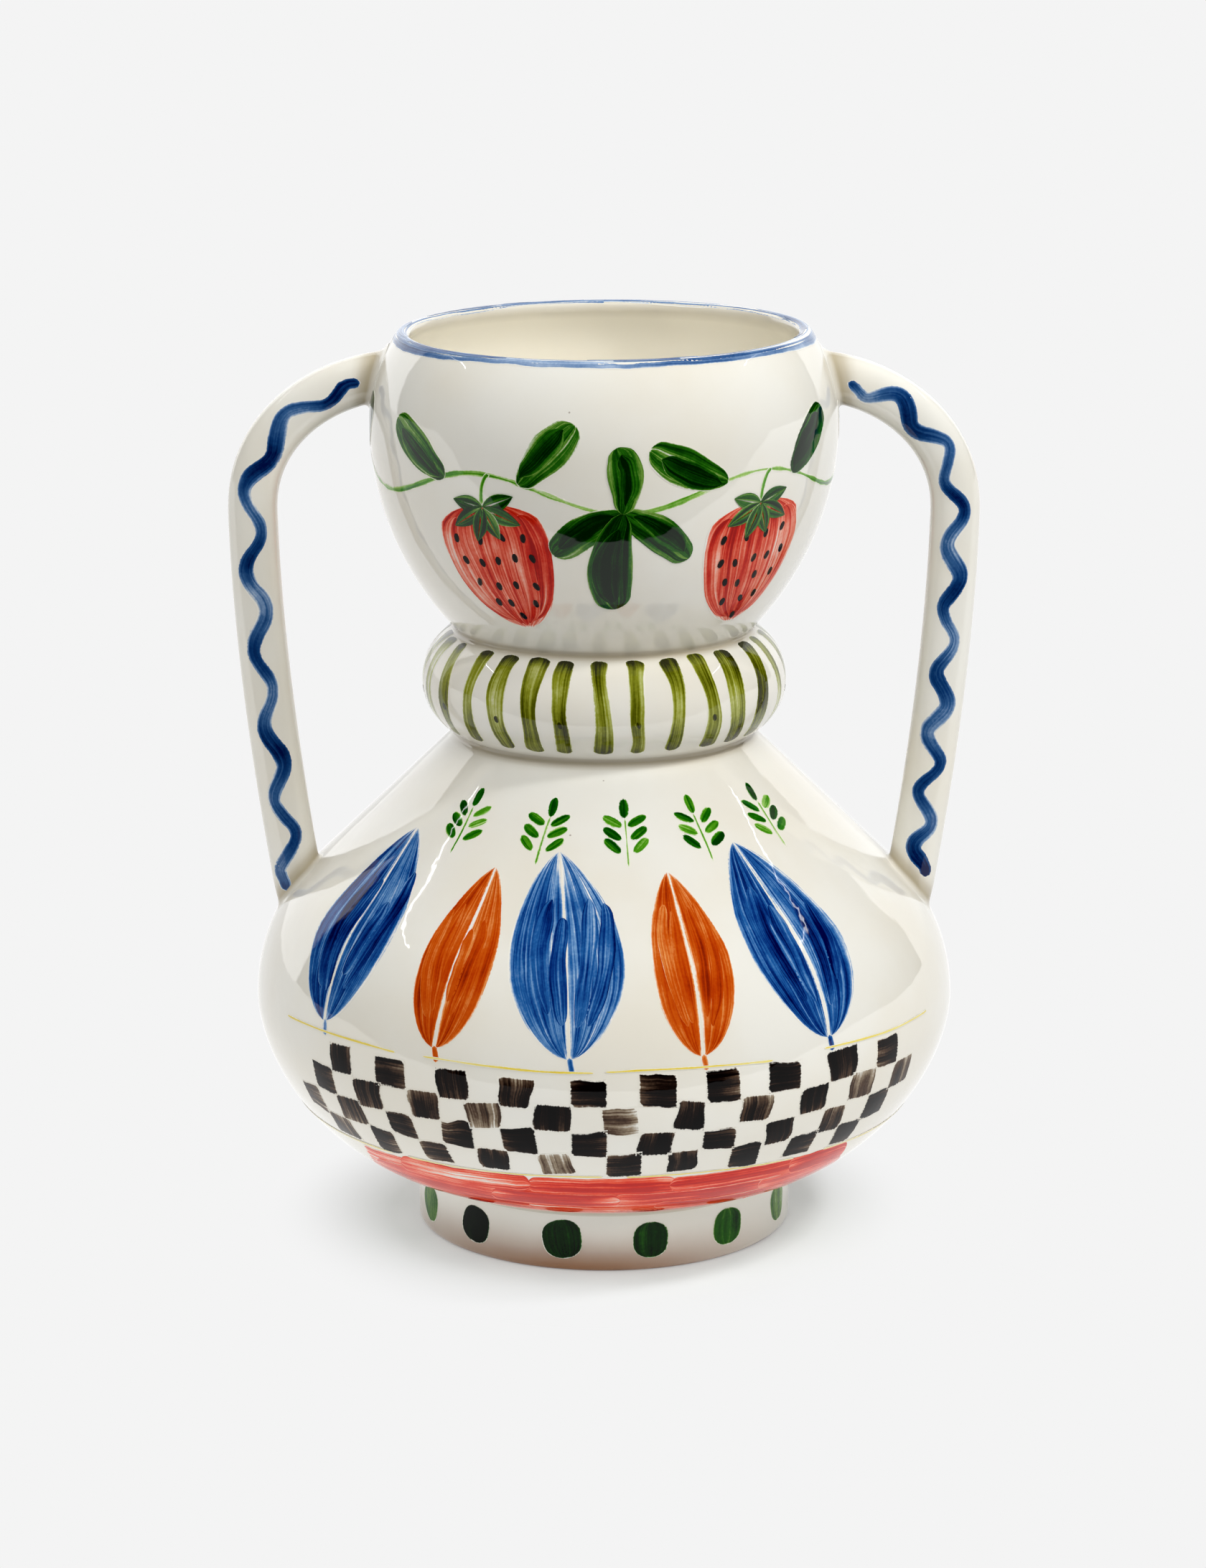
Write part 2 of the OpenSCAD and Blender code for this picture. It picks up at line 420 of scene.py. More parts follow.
def foot_color(tree, spot):
    """The same glaze, lighter as painted light, and darkened to brown by painted shade towards the edge that
    the vase stands on, most a little left of the front and the back and less at the sides; it is wiped off to
    bare clay at that edge."""
    places = node(tree, "SeparateXYZ", {0: spot})
    level = times(tree, noise(tree, spot, scale=60, detail=3.0), UNEVEN_HEIGHT, places["Z"])
    glaze = blend(tree, FOOT_LIT_SHARE, glaze_color(tree, spot), FOOT_LIT_WHITE)
    # Painted shade: strongest a little left of the front and the back, less at the sides
    aside = times(tree, places["X"], 1 / FOOT_R, FOOT_SHADE_LEFT)
    shown = times(tree, times(tree, aside, aside), -SIDE_LESS_SHADE, 1.0)
    thin = times(tree, fade(tree, level, *FOOT_SHADE_HEIGHTS), shown)
    glazed = fade(tree, level, *WIPED)
    return blend(tree, glazed, BARE_CLAY, blend(tree, thin, glaze, FOOT_SHADE_BROWN))


def paint_color(colors, streaks=0.9, halo=0.9, bristle=0.3):
    """Colour of brush paint by its thickness: from the bare glaze through screen colours from thin to
    thick. It is drawn out in streaks along the stroke, thins over the last halo millimetres to its edge,
    and ends there in marks of the bristles."""
    stops = [(i / len(colors), linear(*color)) for i, color in enumerate([GLAZE_SCREEN, *colors])]

    def color_of(tree, spot):
        stroke = node(tree, "UVMap", uv_map="Stroke")[0]
        depth = attribute(tree, "depth")
        thick = attribute(tree, "tone")
        hairs = noise(tree, stroke, stretch=HAIR_STRETCH, detail=3.0)
        bands = noise(tree, stroke, stretch=BAND_STRETCH)
        blots = noise(tree, spot, scale=75, detail=3.0)
        grain = noise(tree, spot, scale=900)
        hairs, bands, blots, grain = [calc(tree, "SUBTRACT", n, 0.5) for n in (hairs, bands, blots, grain)]
        for part, amount in ((hairs, streaks), (bands, 1.3 * streaks), (blots, 0.6), (grain, 0.2)):
            thick = times(tree, part, amount, thick)
        inside = calc(tree, "SUBTRACT", fade(tree, depth, 0.0, halo), 1.0)
        thick = times(tree, inside, EDGE_LOSS, thick)
        edge = times(tree, hairs, 3 * bristle, depth)
        edge = times(tree, grain, 2 * bristle, edge)
        painted = fade(tree, edge, EDGE_START, EDGE_START + bristle)
        return blend(tree, painted, glaze_color(tree, spot), ramp(tree, thick, stops))
    return color_of


def paint(name, colors, ior=PAINT_IOR, **manner):
    return glossy(name, paint_color(colors, **manner), ior)


white_glaze = glossy("white_glaze", glaze_color, GLAZE_IOR)
foot_glaze = glossy("foot_glaze", foot_color, GLAZE_IOR)
rim_blue = paint("rim_blue", [(172, 188, 208), (116, 142, 176), (64, 98, 144), (22, 56, 108)], halo=0.7)
handle_blue = paint("handle_blue", [(122, 150, 184), (48, 88, 136), (10, 52, 104), (0, 12, 62)],
                    streaks=0.6, halo=1.5)
leaf_blue = paint("leaf_blue", [(106, 148, 192), (30, 88, 152), (4, 42, 112), (0, 2, 58)],
                  streaks=1.15, halo=1.8)
leaf_orange = paint("leaf_orange", [(218, 140, 72), (192, 80, 12), (172, 52, 2), (124, 26, 2)], halo=1.4)
berry_coral = paint("berry_coral", [(238, 158, 136), (220, 92, 66), (196, 34, 14), (154, 4, 0)],
                    DEEP_IOR, streaks=1.2, halo=1.6)
band_coral = paint("band_coral", [(240, 150, 126), (232, 80, 48), (212, 36, 8), (186, 14, 0)],
                   DEEP_IOR, streaks=1.6, halo=2.0)
deep_green = paint("deep_green", [(112, 150, 60), (30, 96, 8), (6, 52, 2), (0, 22, 0)], streaks=1.0)
dot_green = paint("dot_green", [(112, 150, 60), (34, 92, 12), (6, 44, 2), (0, 8, 0)], DEEP_IOR, streaks=0.45)
fresh_green = paint("fresh_green", [(160, 196, 104), (74, 146, 20), (16, 96, 2), (0, 50, 0)])
olive_green = paint("olive_green", [(178, 182, 106), (132, 137, 34), (82, 86, 4), (34, 35, 0)])
ink_black = paint("ink_black", [(152, 136, 114), (78, 58, 44), (22, 11, 7), (3, 1, 1)],
                  DEEP_IOR, halo=0.7, bristle=0.5)
line_yellow = paint("line_yellow", [(232, 218, 130), (224, 200, 74), (208, 176, 36)], halo=0.4, bristle=0.15)


def linked(name, data):
    """Object with the given data, in the scene."""
    made = bpy.data.objects.new(name, data)
    bpy.context.scene.collection.objects.link(made)
    return made


def build(name, points, faces, maps, values, material):
    """Mesh piece that rides on the vase, with its maps by face corner and its values by point."""
    mesh = bpy.data.meshes.new(name)
    mesh.from_pydata(points.reshape(-1, 3).tolist(), [], faces)
    for key, spots in maps.items():
        flat = np.concatenate(spots).astype(np.float32).ravel()
        mesh.uv_layers.new(name=key).data.foreach_set("uv", flat)
    for key, numbers in values.items():
        flat = numbers.astype(np.float32).ravel()
        mesh.attributes.new(key, "FLOAT", "POINT").data.foreach_set("value", flat)
    mesh.polygons.foreach_set("use_smooth", np.ones(len(faces), bool))
    mesh.set_sharp_from_angle(angle=SHARP_ANGLE)
    mesh.materials.append(material)
    piece = linked(name, mesh)
    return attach(piece, "root")


# Map of a closed grid: the grid's share of the height, and the size and places of its end caps
GRID_SHARE = 0.95
CAP_SHARE = 0.02
FIRST_CAP = (0.03, 0.975)
LAST_CAP = (0.08, 0.975)


def wrapped(rows, cols, ring):
    """Faces of a grid that closes round its columns and, as a ring, round its rows; otherwise two end caps
    close it. Also their places on the map, with the caps in a strip over the grid."""
    i, j = np.meshgrid(np.arange(rows if ring else rows - 1), np.arange(cols), indexing="ij")
    corners = [(0, 0), (0, 1), (1, 1), (1, 0)]
    faces = np.stack([(i + a) % rows * cols + (j + b) % cols for a, b in corners], axis=-1)
    spots = np.stack([pairs((j + b) / cols, GRID_SHARE * (i + a) / rows) for a, b in corners], axis=-2)
    faces = faces.reshape(-1, 4).tolist()
    spots = [spots.reshape(-1, 2)]
    if not ring:
        turn = np.arange(cols) / cols * TAU
        disc = CAP_SHARE * pairs(np.sin(turn), np.cos(turn))
        faces += [list(range(cols))[::-1], list(range((rows - 1) * cols, rows * cols))]
        spots += [disc[::-1] + FIRST_CAP, disc + LAST_CAP]
    return faces, spots


# Painted shade, partly glaze that gathers there: in the three creases and, more thinly, at the inner edge of
# the lip
CREASES = np.array([[FOOT_R, FOOT_H], [NECK_R, BELLY_TOP], [NECK_R, BOWL_BASE],
                    [LIP_C[0] - WALL / 2, LIP_C[1]]])
CREASE_SHADES = np.array([1, 1, 1, 0.42])
POOL_SHADE_REACH = 2.6 * MM


def lathe(name, loop, ring, material, inside, *nodes):
    """Closed round piece: a loop of (radius, height) points turned about the axis, in place of CAD nodes.
    Inside is 1 where the glaze takes the lighter inner colour, which is painted light, for each point or for
    all."""
    angle = np.linspace(0, TAU, SEGMENTS, endpoint=False)
    points = throw(loop[:, :1], loop[:, 1:], angle[None, :])
    gaps = np.linalg.norm(loop[:, None] - CREASES[None], axis=2)
    # Painted shade near the creases and the lip's inner edge, partly gathered glaze
    pool_and_shade = (CREASE_SHADES * peak(gaps, POOL_SHADE_REACH)).max(axis=1)
    rows = {"pool_and_shade": pool_and_shade, "inside": np.broadcast_to(inside, len(loop))}
    values = {key: np.repeat(row, SEGMENTS) for key, row in rows.items()}
    faces, spots = wrapped(len(loop), SEGMENTS, ring)
    piece = build(name, points, faces, {"OFBake": spots}, values, material)
    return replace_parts(piece, *nodes)


def ring_marks(line):
    """The throwing rings left on an inside wall by the fingers."""
    curve = Curve(line)
    s = curve.steps(INNER_STEP)
    marks = RING_MARK * (np.sin(s / RING_PITCH) + 0.5 * np.sin(s / FINE_PITCH + 1))
    marks *= np.clip(np.minimum(s, curve.length - s) / RINGS_FADE, 0, 1)
    return pairs(*curve.at(s, marks))


AXIS_GAP = 1.5 * MM
# Points over which the lighter inner colour, painted light, spreads up onto the lip
LIP_POINTS = 4


def thrown_pieces():
    """Foot ring, belly, collar ring and bowl."""
    foot_in = FOOT_R - FOOT_WALL
    foot_loop = join(foot_skin.even(OUTER_STEP / 2), [[foot_in, FOOT_H]],
                     arc((foot_in + FOOT_EDGE_R, FOOT_EDGE_R), FOOT_EDGE_R, pi, 1.5 * pi, 8))
    lathe("foot_ring_glazed", foot_loop, True, foot_glaze, 0, "foot_ring")

    shoulder_in = shoulder_arc(WALL)
    belly_in = join(belly_curve(WALL, FLOOR_T), shoulder_in, [[NECK_BORE_R, BELLY_TOP]])[::-1]
    inner_z = BELLY_BASE + FLOOR_T
    base = Curve([[AXIS_GAP, BELLY_BASE], [FOOT_R, BELLY_BASE]]).even(LEVEL_STEP)
    bottom = Curve([[FOOT_R, inner_z], [AXIS_GAP, inner_z]]).even(LEVEL_STEP)
    belly_loop = join(base, belly_skin.even(OUTER_STEP), ring_marks(belly_in), bottom)
    lathe("belly_glazed", belly_loop, False, white_glaze, 0, "belly")

    inner_turn = math.acos((NECK_BORE_R - COLLAR_C) / (COLLAR_TUBE_R - WALL))
    collar_in = arc((COLLAR_C, COLLAR_MID), COLLAR_TUBE_R - WALL, inner_turn, -inner_turn)
    collar_loop = join(collar_skin.even(OUTER_STEP / 2), [[NECK_BORE_R, COLLAR_MID + COLLAR_HALF]],
                       ring_marks(collar_in), [[NECK_BORE_R, COLLAR_MID - COLLAR_HALF]])
    lathe("collar_ring_glazed", collar_loop, True, white_glaze, 0, "collar_ring")

    low_in = LOW_ARC_R - WALL
    bowl_in = join(arc((TOP_C, BOWL_MID), TOP_ARC_R - WALL, LIP_TURN, 0),
                   arc((LOW_C, BOWL_MID), low_in, 0, -math.asin(BOWL_LOW_H / low_in)))
    outer = bowl_skin.even(OUTER_STEP / 2)
    bowl_loop = join(outer, ring_marks(bowl_in))
    # Lighter inner glaze, painted light, from the lip's inner edge down into the bowl
    inside = np.clip((np.arange(len(bowl_loop)) - len(outer)) / LIP_POINTS + 1, 0, 1)
    lathe("bowl_glazed", bowl_loop, True, white_glaze, inside, "bowl")


def bezier(first, pull, last, steps):
    """Points of a curve from first to last that is drawn towards pull."""
    t = np.linspace(0, 1, steps)
    t = t.reshape(-1, *[1] * np.ndim(first))
    return (1 - t) ** 2 * first + 2 * t * (1 - t) * pull + t ** 2 * last


# Glaze seams: how far they reach from the crease, how far their edges sink in, and how far they lift
FOOT_SEAM_REACH = 2.6 * MM
COLLAR_SEAM_REACH = 1.5 * MM
SEAM_SINK = 0.25 * MM
SEAM_LIFT = 0.03 * MM


def glaze_seam(name, lower, upper, reach, cad_node):
    """Ring of slip and pooled glaze that rounds out the crease between two thrown pieces."""
    below = lower.length - reach
    crease = (lower.points[-1] + upper.points[0]) / 2
    first = np.array(lower.at(below, SEAM_LIFT))
    last = np.array(upper.at(reach, SEAM_LIFT))
    loop = join([lower.at(below - MM, -SEAM_SINK)], bezier(first, crease, last, 9),
                [upper.at(reach + MM, -SEAM_SINK)], [crease - [WALL / 2, 0]])
    piece = lathe(name, loop, True, white_glaze, 0, cad_node)


# Course of the right handle in the plane of X and height
UPPER_ROOT_Z = RIM_Z - HANDLE_DROP
UPPER_ROOT_X = TOP_C + math.sqrt(TOP_ARC_R ** 2 - (UPPER_ROOT_Z - BOWL_MID) ** 2)
LOWER_ROOT_X = BELLY_R - HANDLE_INSET
LOWER_ROOT_Z = EQUATOR_Z + math.sqrt(SHOULDER_R ** 2 - (LOWER_ROOT_X - SHOULDER_C) ** 2)
REACH_X = LOWER_ROOT_X + HANDLE_LEAN
BEND_R = (REACH_X - UPPER_ROOT_X) / (1 - math.sin(HANDLE_DROOP))
REACH_Z = UPPER_ROOT_Z - BEND_R * math.cos(HANDLE_DROOP)
LEG_R = arc_radius(HANDLE_LEAN, REACH_Z - LOWER_ROOT_Z)
BEND_LENGTH = BEND_R * (pi / 2 - HANDLE_DROOP)
LEG_LENGTH = LEG_R * math.asin((REACH_Z - LOWER_ROOT_Z) / LEG_R)

# Form that the hand gives the handles, and how they flow into the bowl and the belly
HANDLE_TRIM = 0.15 * MM
BEND_FULL = 1.8 * MM
BEND_SKEW = 0.7
LEG_FLAT = 1.2 * MM
LEG_SPLAY = 1 * MM
SPLAY_POWER = 6
SECTION_POWER = 2.25
SECTION_POINTS = 56
HANDLE_RINGS = 96
BOWL_FILLET = 3.2 * MM
BELLY_FILLET = 3 * MM
FILLET_STEPS = 8
ROOT_TRIES = 600
ROOT_SEAT = 0.6 * SKIN_INSET
ROOT_SINK = 0.5 * MM
# Reach along a handle of the painted shade at its roots
ROOT_SHADE_REACH = 4.5 * MM


def handle_section():
    """Rounded section of a handle, from the middle of its front round its outer side and back. The first
    coordinate points out of the bend and the second to the back."""
    a = np.linspace(-pi / 2, 1.5 * pi, 721)
    half = np.array([HANDLE_W, HANDLE_D]) / 2 - HANDLE_TRIM
    way = pairs(np.cos(a), np.sin(a))
    return Curve(half * np.sign(way) * np.abs(way) ** (2 / SECTION_POWER))


section = handle_section()


def course(l):
    """Middle of the right handle at a distance l up from its outermost point, or down from it below zero,
    and the direction out of the bend. It is pulled by hand: a little fuller in the bend and straighter in
    the leg than the arcs it follows."""
    radius = np.where(l > 0, BEND_R, LEG_R)
    out = pairs(np.cos(l / radius), np.sin(l / radius))
    bend = np.clip(l / BEND_LENGTH, 0, 1)
    leg = np.clip(-l / LEG_LENGTH, 0, 1)
    fuller = BEND_FULL * np.sin(pi * bend ** BEND_SKEW) ** 2
    pulled = fuller - LEG_FLAT * np.sin(pi * leg) + LEG_SPLAY * leg ** SPLAY_POWER
    middle = np.array([REACH_X, REACH_Z]) + (out - [1, 0]) * radius[..., None] + out * pulled[..., None]
    return middle, out


def handle_point(l, q, lift=0.0):
    """Point of the right handle's surface at a distance l along it and q round its section."""
    middle, out = course(l)
    outward, back = section.at(q % section.length, lift)
    flat = middle + out * outward[..., None]
    return np.stack([flat[..., 0], np.broadcast_to(back, flat.shape[:-1]), flat[..., 1]], axis=-1)


def bowl_gap(p):
    """How far a point lies outside the bowl."""
    r = np.hypot(p[..., 0], p[..., 1])
    rise = p[..., 2] - BOWL_MID
    upper = np.hypot(r - TOP_C, rise) - TOP_ARC_R
    lower = np.hypot(r - LOW_C, rise) - LOW_ARC_R
    return np.where(rise > 0, upper, lower)


def belly_gap(p):
    """How far a point lies outside the belly's shoulder."""
    out = np.hypot(p[..., 0], p[..., 1]) - SHOULDER_C
    rise = p[..., 2] - EQUATOR_Z
    flat = out * math.cos(SHOULDER_TURN) + rise * math.sin(SHOULDER_TURN) - SHOULDER_R
    return np.where(np.arctan2(rise, out) < SHOULDER_TURN, np.hypot(out, rise) - SHOULDER_R, flat)


def slope_of(gap, p):
    """Direction away from a surface at a point."""
    step = 0.01 * MM
    ways = [(gap(p + step * axis) - gap(p - step * axis)) / (2 * step) for axis in np.eye(3)]
    return np.stack(ways, axis=-1)


def root_rings(gap, start, end, q, fillet):
    """Rings that flare a handle's end onto a surface, and where along the handle they begin."""
    l = np.linspace(start, end, ROOT_TRIES)
    gaps = gap(handle_point(l[:, None], q[None, :]))
    first = np.argmax(gaps < 0, axis=0)
    cols = np.arange(len(q))
    share = gaps[first - 1, cols] / (gaps[first - 1, cols] - gaps[first, cols])
    hit_l = l[first - 1] + share * (l[first] - l[first - 1])
    leave_l = hit_l - math.copysign(fillet, end - start)
    hit = handle_point(hit_l, q)
    away = slope_of(gap, hit)
    spread = hit - hit.mean(axis=0)
    spread = unit(spread - (spread * away).sum(axis=1, keepdims=True) * away)
    foot = hit + fillet * spread
    foot -= (gap(foot) + ROOT_SEAT)[:, None] * slope_of(gap, foot)
    rings = bezier(handle_point(leave_l, q), hit, foot, FILLET_STEPS)[1:]
    sunk = foot - ROOT_SINK * slope_of(gap, foot) + MM * spread
    deep = hit - 3 * ROOT_SINK * away
    return leave_l, np.concatenate([rings, sunk[None], deep[None]])


def handle(name, side):
    """Handle that flares into the bowl and the belly, in place of the strap and its two coils."""
    q = np.linspace(0, section.length, SECTION_POINTS, endpoint=False)
    top_l, top_rings = root_rings(bowl_gap, 0, BEND_LENGTH + HANDLE_W, q, BOWL_FILLET)
    low_l, low_rings = root_rings(belly_gap, 0, -LEG_LENGTH - HANDLE_W, q, BELLY_FILLET)
    t = np.linspace(0, 1, HANDLE_RINGS)[:, None]
    rings = handle_point(low_l + (top_l - low_l) * t, q[None, :])
    points = np.concatenate([low_rings[::-1], rings, top_rings]) * [side, 1, 1]
    # Painted shade at both roots: on the handle side of each flare and along the handle's last few
    # millimetres
    reach = np.minimum(t, 1 - t)[:, 0] * (top_l - low_l).mean()
    flare_shade = np.linspace(1, 0, len(top_rings)) ** 2
    pool_and_shade = np.concatenate([flare_shade[::-1], peak(reach, ROOT_SHADE_REACH), flare_shade])
    faces, spots = wrapped(len(points), SECTION_POINTS, False)
    if side < 0:
        faces = [face[::-1] for face in faces]
        spots = [spots[0].reshape(-1, 4, 2)[:, ::-1].reshape(-1, 2), spots[1][::-1], spots[2][::-1]]
    piece = build(f"{name}_handle_glazed", points, faces, {"OFBake": spots},
                  {"pool_and_shade": np.repeat(pool_and_shade, SECTION_POINTS)}, white_glaze)
    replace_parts(piece, f"{name}_handle", f"{name}_handle_bowl_coil", f"{name}_handle_belly_coil")


# Paint over other paint counts as this deep, in millimetres from its edge
OVER_DEPTH = 5.0

# Map cell of a patch: margin, and heights of the upper face and the walls, with the underside below them
CELL_MARGIN = 0.03
FACE_LOW = 0.2
WALL_HIGH = 0.17
WALL_LOW = 0.14
UNDER_SHARE = 0.1


class Coat:
    """Paint of one colour: thin closed patches that follow a surface, gathered into one piece."""

    def __init__(self, name, material):
        self.name = name
        self.material = material
        self.points, self.faces, self.depth, self.tone = [], [], [], []
        self.stroke, self.cell = [], []

    def patch(self, place, left, right, tone=0.5, layer=0, under=None, ring=False):
        """Patch between a left and a right edge, which are points on the place, as seen along the stroke.
        Over other paint, under is the tone that its edges take, and they have no pale halo. A ring's ends
        meet."""
        left, right = np.array(left, float), np.array(right, float)
        width = np.linalg.norm(right - left, axis=1)
        along = distances((left + right) / 2)
        rows = len(left)
        cols = 1 + int(np.clip(np.ceil(width.max() / ACROSS_STEP), 2, 40))
        size = rows * cols
        u = np.linspace(0, 1, cols)
        flat = left[:, None] * (1 - u[:, None]) + right[:, None] * u[:, None]
        top = place(flat[..., 0], flat[..., 1], PAINT_LIFT + layer * LAYER_STEP)
        below = place(flat[..., 0], flat[..., 1], -PAINT_SINK)
        edge = np.minimum(u, 1 - u) * width[:, None]
        ends = np.minimum(along, along[-1] - along)[:, None]
        depth = (edge if ring else np.minimum(edge, ends)) / MM
        tones = np.array(np.broadcast_to(np.reshape(tone, (-1, 1)), (rows, cols)), float)
        if under is not None:
            depth = depth + OVER_DEPTH
            tones[[0, -1]] = under
            tones[:, [0, -1]] = under
        shift = rng.uniform(-3, 3, 2)
        stroke = pairs(along[:, None] + shift[0], (u - 0.5) * width.max() + shift[1])

        first = sum(len(p) for p in self.points)
        grid = np.arange(size).reshape(rows, cols)
        quads = np.stack([grid[:-1, :-1], grid[:-1, 1:], grid[1:, 1:], grid[1:, :-1]], axis=-1).reshape(-1, 4)
        rim = np.concatenate([grid[0, :-1], grid[:-1, -1], grid[-1, :0:-1], grid[:0:-1, 0]])
        after = np.roll(rim, -1)
        walls = np.stack([rim, rim + size, after + size, after], axis=-1)
        self.faces += (np.concatenate([quads, quads[:, ::-1] + size, walls]) + first).tolist()
        self.points += [top.reshape(-1, 3), below.reshape(-1, 3)]
        self.depth += [depth.ravel()] * 2
        self.tone += [tones.ravel()] * 2

        t = along[:, None] / along[-1]
        face_up = pairs(CELL_MARGIN + (1 - 2 * CELL_MARGIN) * u, FACE_LOW + (1 - CELL_MARGIN - FACE_LOW) * t)
        face_up = face_up.reshape(-1, 2)
        face_down = face_up * [1, UNDER_SHARE]
        start = np.arange(len(rim)) / len(rim)
        end = start + 1 / len(rim)
        corners = ((start, WALL_LOW), (start, WALL_HIGH), (end, WALL_HIGH), (end, WALL_LOW))
        walls_at = np.stack([pairs(*corner) for corner in corners], axis=1)
        cell = np.concatenate([face_up[quads], face_down[quads[:, ::-1]], walls_at])
        self.cell.append(cell.reshape(-1, 2))
        order = np.concatenate([quads, quads[:, ::-1], walls % size])
        self.stroke.append(stroke.reshape(-1, 2)[order.ravel()])

    def finish(self):
        """Makes the piece, with each patch in its own cell of the map."""
        side = math.ceil(math.sqrt(len(self.cell)))
        cells = [(cell + [k % side, k // side]) / side for k, cell in enumerate(self.cell)]
        maps = {"Stroke": self.stroke, "OFBake": cells}
        values = {"depth": np.concatenate(self.depth), "tone": np.concatenate(self.tone)}
        piece = build(self.name, np.concatenate(self.points), self.faces, maps, values, self.material)
        return piece


def spaced(count):
    """Numbers from 0 to 1 that lie closer together towards both ends."""
    return (1 - np.cos(np.linspace(0, pi, count))) / 2


# Smoothing of a ragged edge, and what makes up for the height that it loses
SMOOTHING = (0.15, 0.25, 0.3, 0.25, 0.15)
SMOOTH_GAIN = 1.6


def ragged(count, amount):
    """Smooth random offsets, as on the edge of a brush stroke."""
    rough = rng.normal(size=count + 4)
    return amount * np.convolve(rough, SMOOTHING, "valid") * SMOOTH_GAIN


def turned(points, angle, at=(0, 0)):
    """Points turned left by an angle in degrees and moved."""
    a = radians(angle)
    return np.array(points) @ np.array([[math.cos(a), math.sin(a)], [-math.sin(a), math.cos(a)]]) + at


END_SHARE = 0.08


def rounded_ends(t, share):
    """Half-width factor of a stroke whose ends are round over a share of its length."""
    inner = np.clip(np.minimum(t, 1 - t) / share, 0, 1)
    return np.maximum(np.sqrt(1 - (1 - inner) ** 2), END_SHARE)


def ribbon(line, half):
    """Left and right edges of a stroke along a line of points, half wide to each side."""
    way = unit(np.gradient(np.array(line), axis=0))
    left = pairs(-way[:, 1], way[:, 0]) * np.reshape(half, (-1, 1))
    return line + left, line - left


def stroke(coat, place, line, half, tone=0.5, layer=0, rough=0.12 * MM, share=None, under=None):
    """Brush stroke along a line, with round ends and slightly ragged edges."""
    length = step_lengths(line).sum()
    ends = rounded_ends(distances(line) / length, share or min(0.5, half / length))
    left, right = ribbon(line, half * ends)
    outward = unit(left - right) * np.minimum(1, 2 * ends)[:, None]
    left = left + outward * ragged(len(line), rough)[:, None]
    right = right - outward * ragged(len(line), rough)[:, None]
    coat.patch(place, left, right, tone, layer, under)


def ring_line(coat, place, line, half, tone):
    """Line all round, whose ends meet at the back."""
    left, right = ribbon(line, half)
    rough = pairs(0 * half, ragged(len(line), 0.2 * MM))
    rough[[0, -1]] = 0
    coat.patch(place, left + rough, right - rough, tone, ring=True)


def dab(coat, place, at, half_w, half_h, tilt=0, tone=0.5, layer=0, uneven=0.05, under=None):
    """Round or oval dab of the brush."""
    t = spaced(15)
    y = (2 * t - 1) * half_h
    half = half_w * np.sqrt(np.maximum(1 - (y / half_h) ** 2, END_SHARE ** 2))
    grow = 1 + uneven * rng.normal(size=3)
    left = pairs(-half * grow[0] * (1 + uneven * np.sin(5 * t + 9 * grow[2])), y)
    right = pairs(half * grow[1] * (1 + uneven * np.cos(6 * t + 7 * grow[2])), y)
    coat.patch(place, turned(left, tilt, at), turned(right, tilt, at), tone, layer, under)


VEIN_GAP = 0.9 * MM
LEAF_LEAST = 0.25 * MM
LEAF_STEP = 3.2 * MM


def leaf(coat, place, at, length, width, tilt, tone, layer=0, fullest=0.45, power=0.8, bow=0.0, under=None):
    """Leaf in two strokes from its base, one each side of a vein that stays bare. Bow bends its tip."""
    t = spaced(max(13, round(length / LEAF_STEP)))
    rough = 0.005 * length
    half = width / 2 * np.maximum(np.sin(pi * t ** (math.log(0.5) / math.log(fullest))), 0) ** power
    vein = VEIN_GAP / 2 * (1.1 - t)
    spine = pairs(bow * length * t ** 2, t * length)
    for hand in (-1, 1):
        outer = np.maximum(half + ragged(len(t), rough) * np.sin(pi * t), vein + LEAF_LEAST)
        reaches = (outer, vein) if hand < 0 else (vein, outer)
        edges = [turned(spine + pairs(hand * reach, 0), tilt, at) for reach in reaches]
        coat.patch(place, *edges, tone + draw(-0.08, 0.08), layer, under)


def full_leaf(coat, place, at, length, width, tilt, tone, layer, under=None):
    """Leaf pressed with a full brush: a broad pull with a round tip, and a darker one over part of it."""
    t = spaced(24)
    bend = draw(-0.09, 0.09) * length
    spine = pairs(bend * np.sin(pi * t), t * length)
    half = width / 2 * np.sin(pi * (0.08 + 0.84 * t) ** 1.25) ** 0.55
    fresh = tone + draw(-0.25, 0.25) * (t - 0.5)
    stroke(coat, place, turned(spine, tilt, at), half, fresh, layer, 0.3 * MM, 0.1, under)
    over = spine * [1, 0.78] + [rng.choice([-1, 1]) * 0.1 * width, draw(0.06, 0.16) * length]
    stroke(coat, place, turned(over, tilt, at), 0.62 * half, tone + 0.27, layer + 1, 0.4 * MM, 0.2, tone)


RIM_WASH = 0.6
RIM_PULLS = 16


